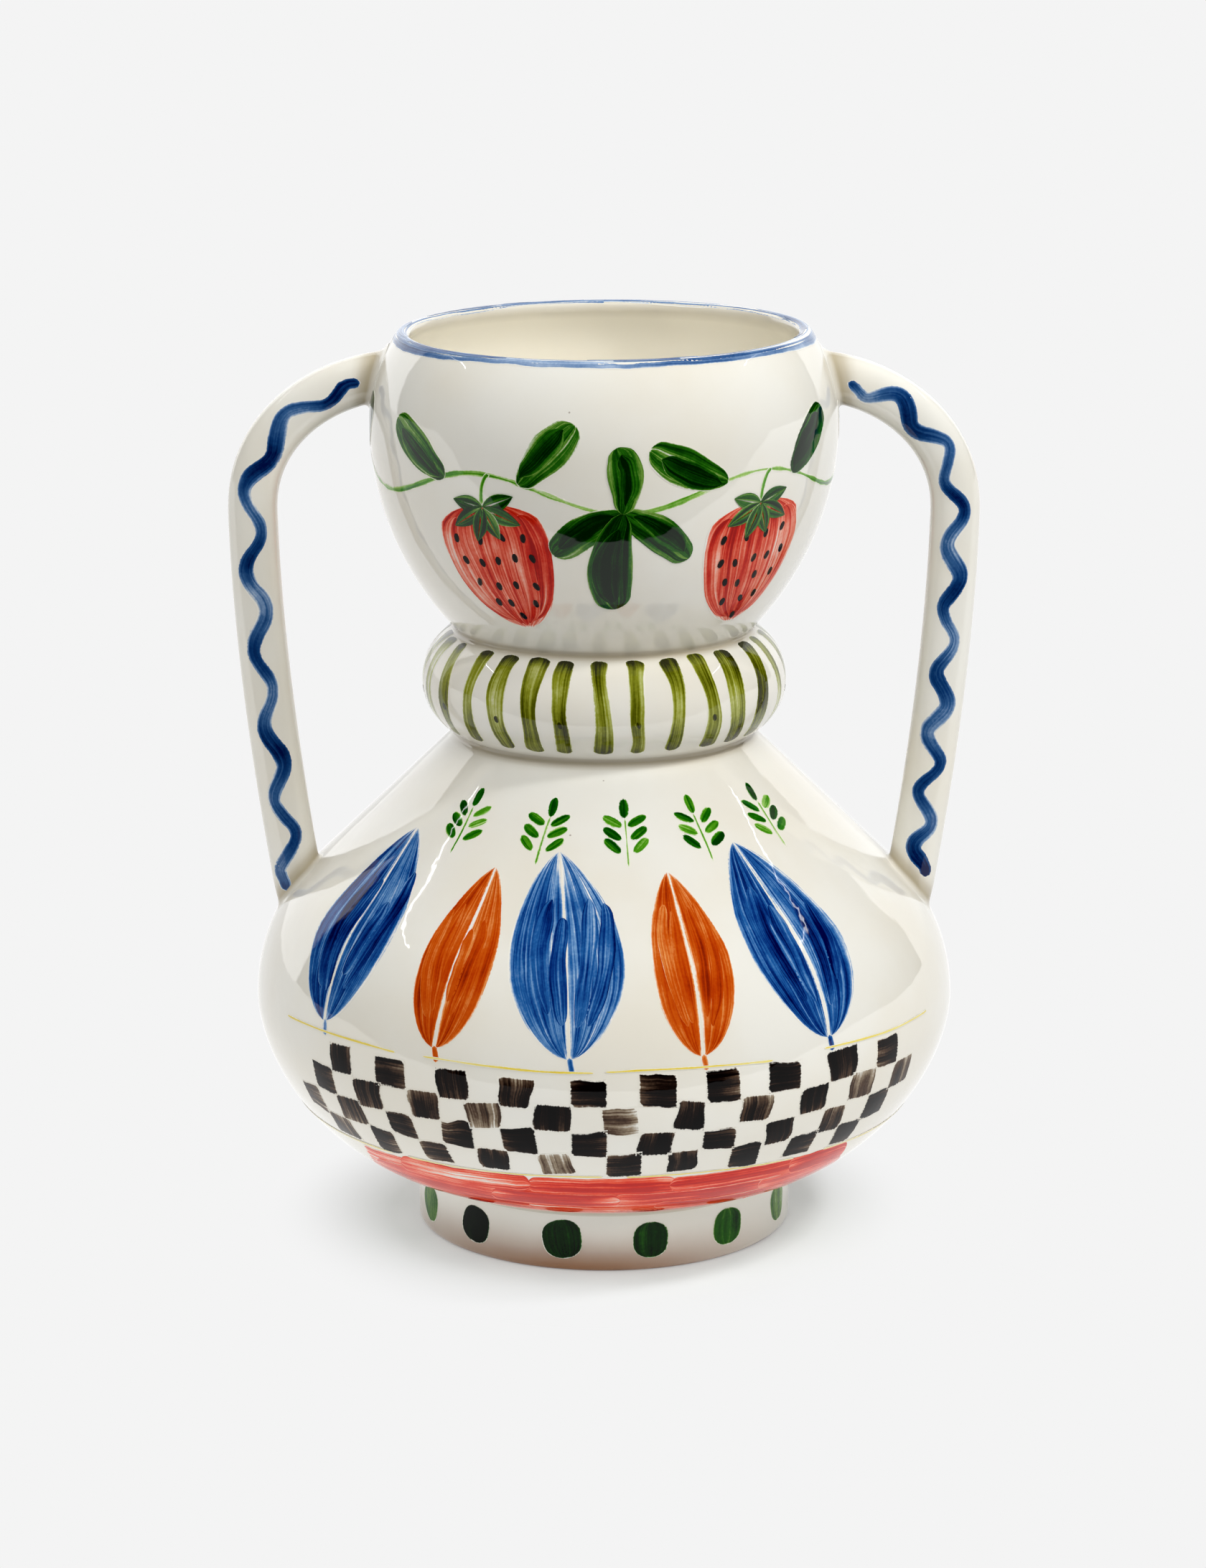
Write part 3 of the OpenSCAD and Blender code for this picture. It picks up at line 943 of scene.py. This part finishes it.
def rim_line():
    """Brushed blue line along the rim, in overlapping pulls of the brush."""
    coat = Coat("rim_blue_line", rim_blue)
    top = bowl_skin.points[:, 1].max()
    place, around = bowl_skin.band(top)
    x = np.linspace(-0.5, 0.5, 300) * around
    sideways = np.sin(TAU * x / around) ** 2
    middle = (-0.7 - 0.6 * sideways + 0.25 * np.sin(90 * x)) * MM
    half = (3.9 + 0.8 * sideways + 0.35 * np.sin(61 * x + 1)) * MM
    ring_line(coat, place, pairs(x, middle), half, RIM_WASH + 0.12 * np.sin(47 * x))
    for k in range(RIM_PULLS):
        t = spaced(40)
        x = (draw(-0.5, 0.42) + t * draw(0.05, 0.12)) * around
        middle = draw(-3.4, 1.8) * MM + 0.3 * MM * np.sin(5 * t + k)
        half, tone = draw(0.7, 1.6) * MM, draw(0.8, 1.05)
        stroke(coat, place, pairs(x, middle), half, tone, 1 + k % 4, 0.1 * MM, 0.2, RIM_WASH)
    coat.finish()


COLLAR_STRIPES = 30


def collar_stripes():
    """Olive brush stripes round the collar."""
    coat = Coat("collar_olive_stripes", olive_green)
    for k in range(COLLAR_STRIPES):
        place = collar_skin.spot(360 * k / COLLAR_STRIPES + draw(-1.6, 1.6), COLLAR_MID)
        t = spaced(26)
        low, high = draw(-20, -18) * MM, draw(24.5, 26.5) * MM
        lean, sway, phase = draw(-2.4, 2.4) * MM, draw(0.5, 1.5) * MM, draw(0, 6)
        x = lean * (t - 0.5) + sway * np.sin(4.5 * t + phase)
        line = pairs(x, low + (high - low) * t)
        half = (4 + draw(-0.7, 0.7) + 0.5 * np.sin(5 * t + phase * 2)) * MM
        tone = 0.52 + draw(-0.12, 0.16) + 0.5 * peak(1 - t, 0.09) + 0.25 * peak(t, 0.07)
        tone += 0.14 * np.sin(8 * t + 3 * phase)
        stroke(coat, place, line, half, tone, 0, 0.32 * MM, 0.05)
        if k % 2:
            dab(coat, place, (x[10], line[10, 1]), 1.2 * MM, 1.5 * MM, 20, 1.1, 1, under=0.75)
    coat.finish()


FOOT_DOTS = 13
FOOT_DOTS_Z = 13.5 * MM
BRUSH_LOADS = 3


def foot_dots():
    """Dark green dots round the foot, which grow paler until the brush is loaded again."""
    coat = Coat("foot_green_dots", dot_green)
    for k in range(FOOT_DOTS):
        place = foot_skin.spot(360 * (k + 0.5) / FOOT_DOTS + draw(-2, 2), FOOT_DOTS_Z)
        tone = 1.0 - 0.66 * ((k + 2) * BRUSH_LOADS / FOOT_DOTS % 1) + draw(-0.05, 0.05)
        at = (0, draw(-0.6, 0.6) * MM)
        half_w, half_h = draw(8.2, 9.6) * MM, draw(7.6, 8.6) * MM
        dab(coat, place, at, half_w, half_h, draw(-15, 15), tone, 0, 0.09)
    coat.finish()


WAVE_SWING = 3.4 * MM
WAVE_TOP = BEND_LENGTH - 5 * MM


def handle_waves(name, side, wave, phase, low):
    """Blue wavy line down the front and the back of a handle."""
    coat = Coat(f"{name}_handle_blue_wave", handle_blue)
    for face in (0, 1):
        def place(x, y, lift, face=face):
            return handle_point(y, face * section.length / 2 + side * x, lift) * [side, 1, 1]
        t = np.linspace(0, 1, 190)
        inward = np.minimum(t, 1 - t)
        y = low + (WAVE_TOP - low) * t
        swing = WAVE_SWING * (1 + 0.12 * np.sin(9 * t + phase)) * np.clip(inward / 0.04, 0.1, 1)
        x = swing * np.sin(TAU * y / wave + phase + face + 0.5 * np.sin(5 * t))
        x += side * (1 - 2 * face) * 5 * MM * peak(t, 0.05)
        half = (3.2 + 0.5 * np.sin(23 * t + phase)) * MM * np.clip(inward / 0.03, 0.82, 1)
        tone = 0.66 + 0.2 * np.sin(37 * t + 2 * phase) + 0.35 * peak(inward, 0.025)
        stroke(coat, place, pairs(x, y), half, tone, 0, 0.16 * MM, 0.014)
    coat.finish()


# Garland on the bowl
BERRIES = 5
BERRY_W = 52 * MM
BERRY_H = 58 * MM
BERRY_FRONT = -31
BERRY_PULLS = (-0.68, 0.7, -0.34, 0.37, 0)
GARLAND_Z = 327 * MM
GARLAND_SWING = 7 * MM

# Seeds of a berry: share of the way down, and number. Leaves of its cap: angle, and length in millimetres
SEED_ROWS = ((0.24, 4), (0.43, 5), (0.61, 4), (0.77, 3), (0.9, 1))
SEED_SIZE = (1.25 * MM, 1.95 * MM)
CAP_LEAVES = ((105, 15), (-108, 14), (62, 17), (-66, 17), (18, 14), (-24, 15))
CAP_LEAF_W = 7 * MM

# Leaves beside a berry: side, length and lean. Leaves between two: lean, length and width. In millimetres
# and degrees
SIDE_LEAVES = ((-1, 37, 62), (1, 34, 48))
SIDE_LEAF_W = 16.5 * MM
MID_LEAVES = ((122, 33, 15), (-128, 34, 15), (174, 44, 18), (8, 27, 14))


def berry_half(t):
    """Half-width of a berry from its shoulders at 0 to its tip at 1."""
    return BERRY_W / 2 * (1 - t ** 2.4) ** 0.6 * (0.8 + 0.2 * np.sin(np.minimum(t / 0.32, 1) * pi / 2))


def berry(flesh, seeds, cap, place, at, tilt):
    """Strawberry in a wash with pulls of the brush over it, with dark seeds and a leafy cap."""
    t = spaced(24)
    wash = draw(0.36, 0.46)
    half = berry_half(np.minimum(t, 0.985)) * np.sqrt(1 - np.maximum(1 - t / 0.13, 0) ** 2 * 0.86)
    edges = [pairs(side * half + ragged(len(t), 0.25 * MM), -t * BERRY_H) for side in (1, -1)]
    flesh.patch(place, *[turned(edge, tilt, at) for edge in edges], wash + 0.2 * peak(t, 0.2))
    for layer, side in enumerate(BERRY_PULLS):
        top = -2 * MM - abs(side) ** 2 * 6 * MM
        y = top - t * (BERRY_H + top) * (0.97 - 0.05 * abs(side))
        line = pairs(side * berry_half(np.minimum(t, 0.97)), y)
        half = 0.27 * berry_half(np.minimum(t * 0.97, 0.97)) + 0.5 * MM
        tone = draw(0.36, 0.8) + 0.3 * peak(t, 0.16) + 0.2 * peak(1 - t, 0.14)
        stroke(flesh, place, turned(line, tilt, at), half, tone, 1 + layer, 0.3 * MM, 0.14, wash)
    for down, count in SEED_ROWS:
        for k in range(count):
            x = (k - (count - 1) / 2) / max(count, 3) * 1.7 * berry_half(down) + rng.normal(0, 0.8) * MM
            y = -down * BERRY_H + rng.normal(0, 0.8) * MM
            seed = turned([[x, y]], tilt, at)[0]
            turn, tone = tilt + draw(-25, 25), draw(0.9, 1.1)
            dab(seeds, place, seed, *SEED_SIZE, turn, tone, 7, under=0.75)
    base = turned([[0, -1 * MM]], tilt, at)[0]
    for layer, (way, length) in enumerate(CAP_LEAVES):
        leaf(cap, place, base, length * MM, CAP_LEAF_W, tilt + 180 + way, 0.75, 7 + layer, under=0.45)


# Degrees that most ornament keeps clear of the middle of a handle
SIDE_ROOM = 32


def beside_handle(angle, room=SIDE_ROOM):
    """Whether an angle round the vase, from the front, is within so many degrees of a handle."""
    return abs((angle % 180) - 90) < room


def garland():
    """Strawberry garland round the bowl."""
    flesh = Coat("bowl_coral_berries", berry_coral)
    seeds = Coat("bowl_dark_seeds", ink_black)
    green = Coat("bowl_green_leaves", deep_green)
    vine = Coat("bowl_green_vine", fresh_green)
    place, around = bowl_skin.band(GARLAND_Z)
    x = np.linspace(-0.5, 0.5, 420) * around
    y = GARLAND_SWING * np.cos(TAU * BERRIES * x / around - radians(BERRY_FRONT) * BERRIES)
    ring_line(vine, place, pairs(x, y), (1.25 + 0.25 * np.sin(60 * x)) * MM, 0.5)
    for k in range(BERRIES):
        angle = BERRY_FRONT + 360 * k / BERRIES
        here = bowl_skin.spot(angle, GARLAND_Z)
        tilt = draw(-9, 9)
        hang = np.array([draw(-2, 2) * MM, -6 * MM])
        stalk = bezier(np.array([5 * MM, GARLAND_SWING]), np.array([0, 5 * MM]), hang, 12)
        stroke(vine, here, stalk, 1.1 * MM, 0.55, 1)
        berry(flesh, seeds, green, here, hang, tilt)
        for side, length, lean in SIDE_LEAVES:
            at = (side * 17 * MM, GARLAND_SWING * 0.55)
            turn, tone = draw(-6, 6) - side * lean, draw(0.5, 0.8)
            full_leaf(green, here, at, length * MM, SIDE_LEAF_W, turn, tone, 2)
        if beside_handle(angle + 180 / BERRIES):
            continue
        between = bowl_skin.spot(angle + 180 / BERRIES, GARLAND_Z)
        for layer, (lean, length, width) in enumerate(MID_LEAVES):
            at = (draw(-1, 1) * MM, -GARLAND_SWING)
            turn, tone = lean + draw(-6, 6), draw(0.5, 0.8)
            under = 0.35 if layer else None
            full_leaf(green, between, at, length * MM, width * MM, turn, tone, 2 + 2 * layer, under)
    for coat in (flesh, seeds, green, vine):
        coat.finish()


# Frieze on the belly. A leaf has a length, a width and the share of the length at which it is widest
LEAF_PAIRS = 8
LEAF_BASE_Z = 112 * MM
BLUE_LEAF = (90 * MM, 47 * MM, 0.42)
ORANGE_LEAF = (80 * MM, 33 * MM, 0.4)
LEAF_PULLS = (-0.62, -0.3, 0.28, 0.6)
SPRIG_Z = 177 * MM
SPRIG_H = 24 * MM


def leaf_frieze():
    """Tall brush leaves round the belly, blue and orange in turn, with green sprigs between their tips."""
    blue = Coat("belly_blue_leaves", leaf_blue)
    orange = Coat("belly_orange_leaves", leaf_orange)
    sprigs = Coat("belly_green_sprigs", fresh_green)
    step = 360 / LEAF_PAIRS
    for k in range(LEAF_PAIRS):
        for coat, turn, (length, width, fullest) in ((blue, 0, BLUE_LEAF), (orange, step / 2, ORANGE_LEAF)):
            angle = step * (k - 0.12) + turn + draw(-1.5, 1.5)
            if beside_handle(angle):
                continue
            sprig(sprigs, belly_skin.spot(angle + step * 0.25, SPRIG_Z))
            place = belly_skin.spot(angle, LEAF_BASE_Z)
            tilt, tone, bow = draw(-4, 4), draw(0.5, 0.68), draw(-0.05, 0.05)
            leaf(coat, place, (0, 0), length, width, tilt, tone, 0, fullest, 0.72, bow)
            for side in LEAF_PULLS:
                t = spaced(26)
                low, high = draw(0.12, 0.25), draw(0.6, 0.82)
                y = low + (high - low) * t
                x = side * width / 2 * np.sin(pi * y) ** 0.8 * draw(0.85, 1.05)
                tone = 0.6 + draw(0, 0.4) * np.sin(pi * t)
                stroke(coat, place, pairs(x, y * length), 0.07 * width, tone, 1, 0.3 * MM, 0.3, 0.6)
            stem = pairs(np.linspace(0, 1, 8) * 1.5 * MM, np.linspace(1, -6, 8) * MM)
            stroke(coat, place, stem, 1.5 * MM, 0.6, 1)
    for coat in (blue, orange, sprigs):
        coat.finish()


def sprig(coat, place):
    """Upright sprig with pairs of small leaves."""
    t = np.linspace(0, 1, 12)
    sway = draw(-2, 2) * MM
    stroke(coat, place, pairs(sway * t ** 2, SPRIG_H * t), 0.65 * MM, 0.55)
    for up in (0.25, 0.5, 0.75):
        for side in (-1, 1):
            at = np.array([sway * up ** 2, SPRIG_H * up])
            reach = np.array([side * 5.4 * MM, 4.2 * MM]) * (1.15 - 0.3 * up)
            tilt, tone = draw(-10, 10) - side * 50, draw(0.6, 0.95)
            dab(coat, place, at + reach, 2.3 * MM, 4.6 * MM, tilt, tone, 1)
    dab(coat, place, (sway, SPRIG_H + 4 * MM), 2.2 * MM, 4.8 * MM, draw(-12, 12), draw(0.65, 0.95), 1)


# Chequer on the belly
CHEQUER_COLUMNS = 66
CHEQUER_ROWS = 4
CHEQUER_Z = (60 * MM, 105 * MM)


def chequer():
    """Hand-painted dark squares on the front and the back of the belly."""
    coat = Coat("belly_chequer", ink_black)
    low, high = belly_skin.height(CHEQUER_Z)
    row_h = (high - low) / CHEQUER_ROWS
    for row in range(CHEQUER_ROWS):
        radius, z = belly_skin.at(low + (row + 0.5) * row_h)
        width = TAU * radius / CHEQUER_COLUMNS
        for k in range(row % 2, CHEQUER_COLUMNS, 2):
            angle = 360 * (k + 0.5) / CHEQUER_COLUMNS
            if beside_handle(angle, SIDE_ROOM + draw(-2, 5)):
                continue
            place = belly_skin.spot(angle, z)
            across = rng.uniform() < 0.4
            long, wide = (width, row_h) if across else (row_h, width)
            t = np.linspace(0, 1, 10)
            y = (t - 0.5 + rng.normal(0, 0.03)) * long * draw(1, 1.14)
            tilt = rng.choice([90, -90]) if across else rng.choice([0, 180])
            edges = []
            for side in (-0.5, 0.5):
                x = side * wide * 1.06 + rng.normal(0, 0.7) * MM + rng.normal(0, 1) * MM * (t - 0.5)
                edge = pairs(x + ragged(len(t), 0.4 * MM), y + rng.normal(0, 0.5) * MM)
                edges.append(turned(edge, tilt + rng.normal(0, 2)))
            tone = rng.choice([1, 0.86, 0.7, 0.5], p=[0.4, 0.25, 0.2, 0.15]) - 0.35 * t ** 3
            coat.patch(place, *edges, tone)
    coat.finish()


# Coral band on the belly
BAND_Z = 41 * MM
BAND_EDGES = (30.2 * MM, 57 * MM)
BAND_ROWS = 4
BAND_PULLS = 4
BAND_WASH = 0.52


def coral_band():
    """Brushed coral band low on the front and the back of the belly, in overlapping pulls. It is hidden from
    diffuse rays, so that it throws no red on the foot and the floor."""
    coat = Coat("belly_coral_band", band_coral)
    level = belly_skin.height(BAND_Z)
    low, high = belly_skin.height(BAND_EDGES) - level
    reach = radians(89 - SIDE_ROOM) * belly_skin.at(level)[0]
    for angle in (0, 180):
        place = belly_skin.spot(angle, BAND_Z)
        x = np.linspace(-1, 1, 150) * reach
        upper = high - 1.2 * MM + 0.5 * MM * np.sin(40 * x) + ragged(len(x), 0.3 * MM)
        lower = low + 0.5 * MM * np.sin(33 * x + 1) + ragged(len(x), 0.3 * MM)
        coat.patch(place, pairs(x, upper), pairs(x, lower), BAND_WASH)
        for row in range(BAND_ROWS):
            for k in range(BAND_PULLS):
                t = spaced(46)
                start = (2 * (k + 0.3 * (row % 2) + draw(0, 0.2)) / BAND_PULLS - 1) * reach
                length = min(2 * reach / BAND_PULLS * draw(0.9, 1.35), reach * 1.02 - start)
                middle = low + (high - low) * (row + 0.5 + draw(-0.12, 0.12)) / BAND_ROWS
                line = pairs(start + t * length, middle + 0.8 * MM * np.sin(3 * t + k + row))
                half = (high - low) / BAND_ROWS * draw(0.5, 0.62)
                inward = np.clip(np.minimum(t, 1 - t) / 0.22, 0, 1)
                tone = BAND_WASH + (draw(0.36, 1.05) - BAND_WASH) * inward
                stroke(coat, place, line, half, tone, 1 + (k + row) % 4, 0.3 * MM, 0.06, BAND_WASH)
    coat.finish().visible_diffuse = False


# Yellow lines on the belly: height and number of pulls all round
YELLOW_LINES = ((107.5 * MM, 11), (58.6 * MM, 9))
YELLOW_HALF = 0.55 * MM


def yellow_lines():
    """Thin yellow lines over and under the chequer, in broken pulls."""
    coat = Coat("belly_yellow_lines", line_yellow)
    for z, pulls in YELLOW_LINES:
        place, around = belly_skin.band(z)
        for k in range(pulls):
            t = spaced(40)
            if beside_handle(360 * (k + 0.5) / pulls, SIDE_ROOM / 2):
                continue
            x = (k + draw(0, 0.15)) / pulls * around + t * around / pulls * draw(0.8, 0.95)
            y = 0.5 * MM * np.sin(4 * t + 2 * k)
            stroke(coat, place, pairs(x, y), YELLOW_HALF, draw(0.45, 0.75), 5, 0.08 * MM, 0.03)
    coat.finish()


# Camera, as fitted to the photograph's outline
IMAGE_SIZE = (1680, 2185)
FOCAL_PX = 6587.8
CAMERA_AT = (-0.0004, -1.9164, 0.6695)
CAMERA_PITCH = radians(14.12)
SENSOR = 36.0
BACKGROUND = linear(244, 244, 244)
LAMPS_AIM = (0, 0, 0.2)


def camera():
    data = bpy.data.cameras.new("camera")
    data.sensor_width = SENSOR
    data.lens = FOCAL_PX / max(IMAGE_SIZE) * SENSOR
    eye = linked("camera", data)
    eye.location = CAMERA_AT
    eye.rotation_euler = (pi / 2 - CAMERA_PITCH, 0, 0)
    bpy.context.scene.camera = eye


def softbox(name, at, size, radiance, along=None):
    """Area light of a given brightness, aimed at the vase. Its length lies level, or as along says."""
    data = bpy.data.lights.new(name, "AREA")
    data.shape = "RECTANGLE"
    data.size, data.size_y = size
    data.energy = radiance * pi * size[0] * size[1]
    lamp = linked(name, data)
    away = (Vector(at) - Vector(LAMPS_AIM)).normalized()
    across = away.cross(Vector(along) if along else Vector((0, 0, -1)).cross(away)).normalized()
    turn = Matrix((across.cross(away), across, away)).transposed()
    lamp.matrix_world = Matrix.Translation(at) @ turn.to_4x4()
    return lamp


# Sheet under the vase: where its shadow fades out, its front edge, and how bright it is
FLOOR_SIZE = 40.0
SHADOW_FADE = (0.06, 0.145)
SHADOW_LIFT = 0.3
SHEET_MATT = linear(239, 242, 243)
SHEET_FRONT = (-0.44, -0.43)
SHEET_GLOW = 1.23
SHEET_MIRRORED = 1.2

# Backdrop: where it begins, how bright the glaze mirrors it, and the fill light
BACKDROP_EDGE = (0.6, 0.62)
BACKDROP_SKEW = 0.09
BACKDROP_MIRRORED = 1.6
BACKDROP_FALL = 0.3
FILL = 0.06


def strength_for(tree, lit, mirrored):
    """How bright the surroundings are: plain for the camera, also through glass, and otherwise as they light
    the object and as its glaze mirrors them."""
    path = node(tree, "LightPath")
    seen = calc(tree, "MAXIMUM", path["Is Camera Ray"], path["Is Transmission Ray"])
    hidden = node(tree, "Mix", {0: path["Is Glossy Ray"], 2: lit, 3: mirrored})[0]
    return node(tree, "Mix", {0: seen, 2: hidden, 3: 1.0})[0]


def floor():
    """White sheet under the vase. Its front edge, which the camera doesn't see, shows in the glaze."""
    material, tree = new_material("floor")
    spot = node(tree, "TexCoord")["Object"]
    away = node(tree, "VectorMath", {0: spot}, operation="LENGTH")["Value"]
    y = node(tree, "SeparateXYZ", {0: spot})["Y"]
    on_sheet = fade(tree, y, *SHEET_FRONT)
    lit, mirrored = [times(tree, on_sheet, bright) for bright in (SHEET_GLOW, SHEET_MIRRORED)]
    strength = strength_for(tree, lit, mirrored)
    matt = node(tree, "BsdfDiffuse", {"Color": SHEET_MATT})
    glow = node(tree, "Emission", {"Color": BACKGROUND, "Strength": strength})
    plain = calc(tree, "MAXIMUM", fade(tree, away, *SHADOW_FADE), SHADOW_LIFT)
    mix = node(tree, "MixShader", {0: plain, 1: matt[0], 2: glow[0]})
    tree.links.new(mix[0], tree.nodes["Material Output"].inputs["Surface"])
    mesh = bpy.data.meshes.new("floor")
    half = FLOOR_SIZE / 2
    corners = [(-half, -half, 0), (half, -half, 0), (half, half, 0), (-half, half, 0)]
    mesh.from_pydata(corners, [], [(0, 1, 2, 3)])
    mesh.materials.append(material)
    sheet = linked("floor", mesh)


def world():
    """The background's white behind the vase, a dark room before it, and a little fill light."""
    studio = bpy.data.worlds.new("studio")
    studio.use_nodes = True
    bpy.context.scene.world = studio
    tree = studio.node_tree
    way = node(tree, "TexCoord")["Generated"]
    places = node(tree, "SeparateXYZ", {0: way})
    back = times(tree, places["X"], -BACKDROP_SKEW, places["Y"])
    bright = times(tree, places["X"], -BACKDROP_FALL * BACKDROP_MIRRORED, BACKDROP_MIRRORED)
    backdrop = times(tree, fade(tree, back, *BACKDROP_EDGE), bright)
    strength = strength_for(tree, FILL, backdrop)
    shown = node(tree, "Background", {"Color": BACKGROUND, "Strength": strength})
    tree.links.new(shown[0], tree.nodes["World Output"].inputs["Surface"])


# Soft lamps: name, place, size and brightness. Strips: place and direction on the right, size, brightness
SOFTBOXES = (("top_softbox", (0, 0.3, 1.9), (1.6, 1.4), 2.05),
             ("front_softbox", (0.3, -1.5, 1.5), (1.4, 1.2), 5.2),
             ("key_softbox", (1.1, -0.64, 1.6), (0.25, 0.25), 65),
             ("left_softbox", (-1.5, 0.1, 0.8), (0.8, 1.0), 2.1))
STRIP_AT = (1.18, 0.26, 1.3)
STRIP_ALONG = (0.16, -0.47, -0.07)
STRIP_SIZE = (0.6, 0.012)
STRIP_GLOW = 14


def lamps():
    """Soft lamps overhead, in front and on the left, a smaller key on the right, and a thin strip on each
    side for fine highlights."""
    for name, at, size, radiance in SOFTBOXES:
        softbox(name, at, size, radiance).visible_glossy = False
    for name, side in (("right_strip", 1), ("left_strip", -1)):
        at, along = [(side * x, y, z) for x, y, z in (STRIP_AT, STRIP_ALONG)]
        softbox(name, at, STRIP_SIZE, STRIP_GLOW, along).visible_diffuse = False


thrown_pieces()
glaze_seam("foot_seam", foot_skin, belly_skin, FOOT_SEAM_REACH, "foot_slip_joint")
glaze_seam("lower_collar_seam", belly_skin, collar_skin, COLLAR_SEAM_REACH, "lower_collar_slip_joint")
glaze_seam("upper_collar_seam", collar_skin, bowl_skin, COLLAR_SEAM_REACH, "upper_collar_slip_joint")
handle("right", 1)
handle("left", -1)
rim_line()
collar_stripes()
foot_dots()
handle_waves("right", 1, 26 * MM, 0.4, 3 * MM - LEG_LENGTH)
handle_waves("left", -1, 32 * MM, 2.1, -3 * MM - LEG_LENGTH)
garland()
leaf_frieze()
chequer()
coral_band()
yellow_lines()
camera()
floor()
world()
lamps()
bpy.context.scene.view_settings.view_transform = "Standard"
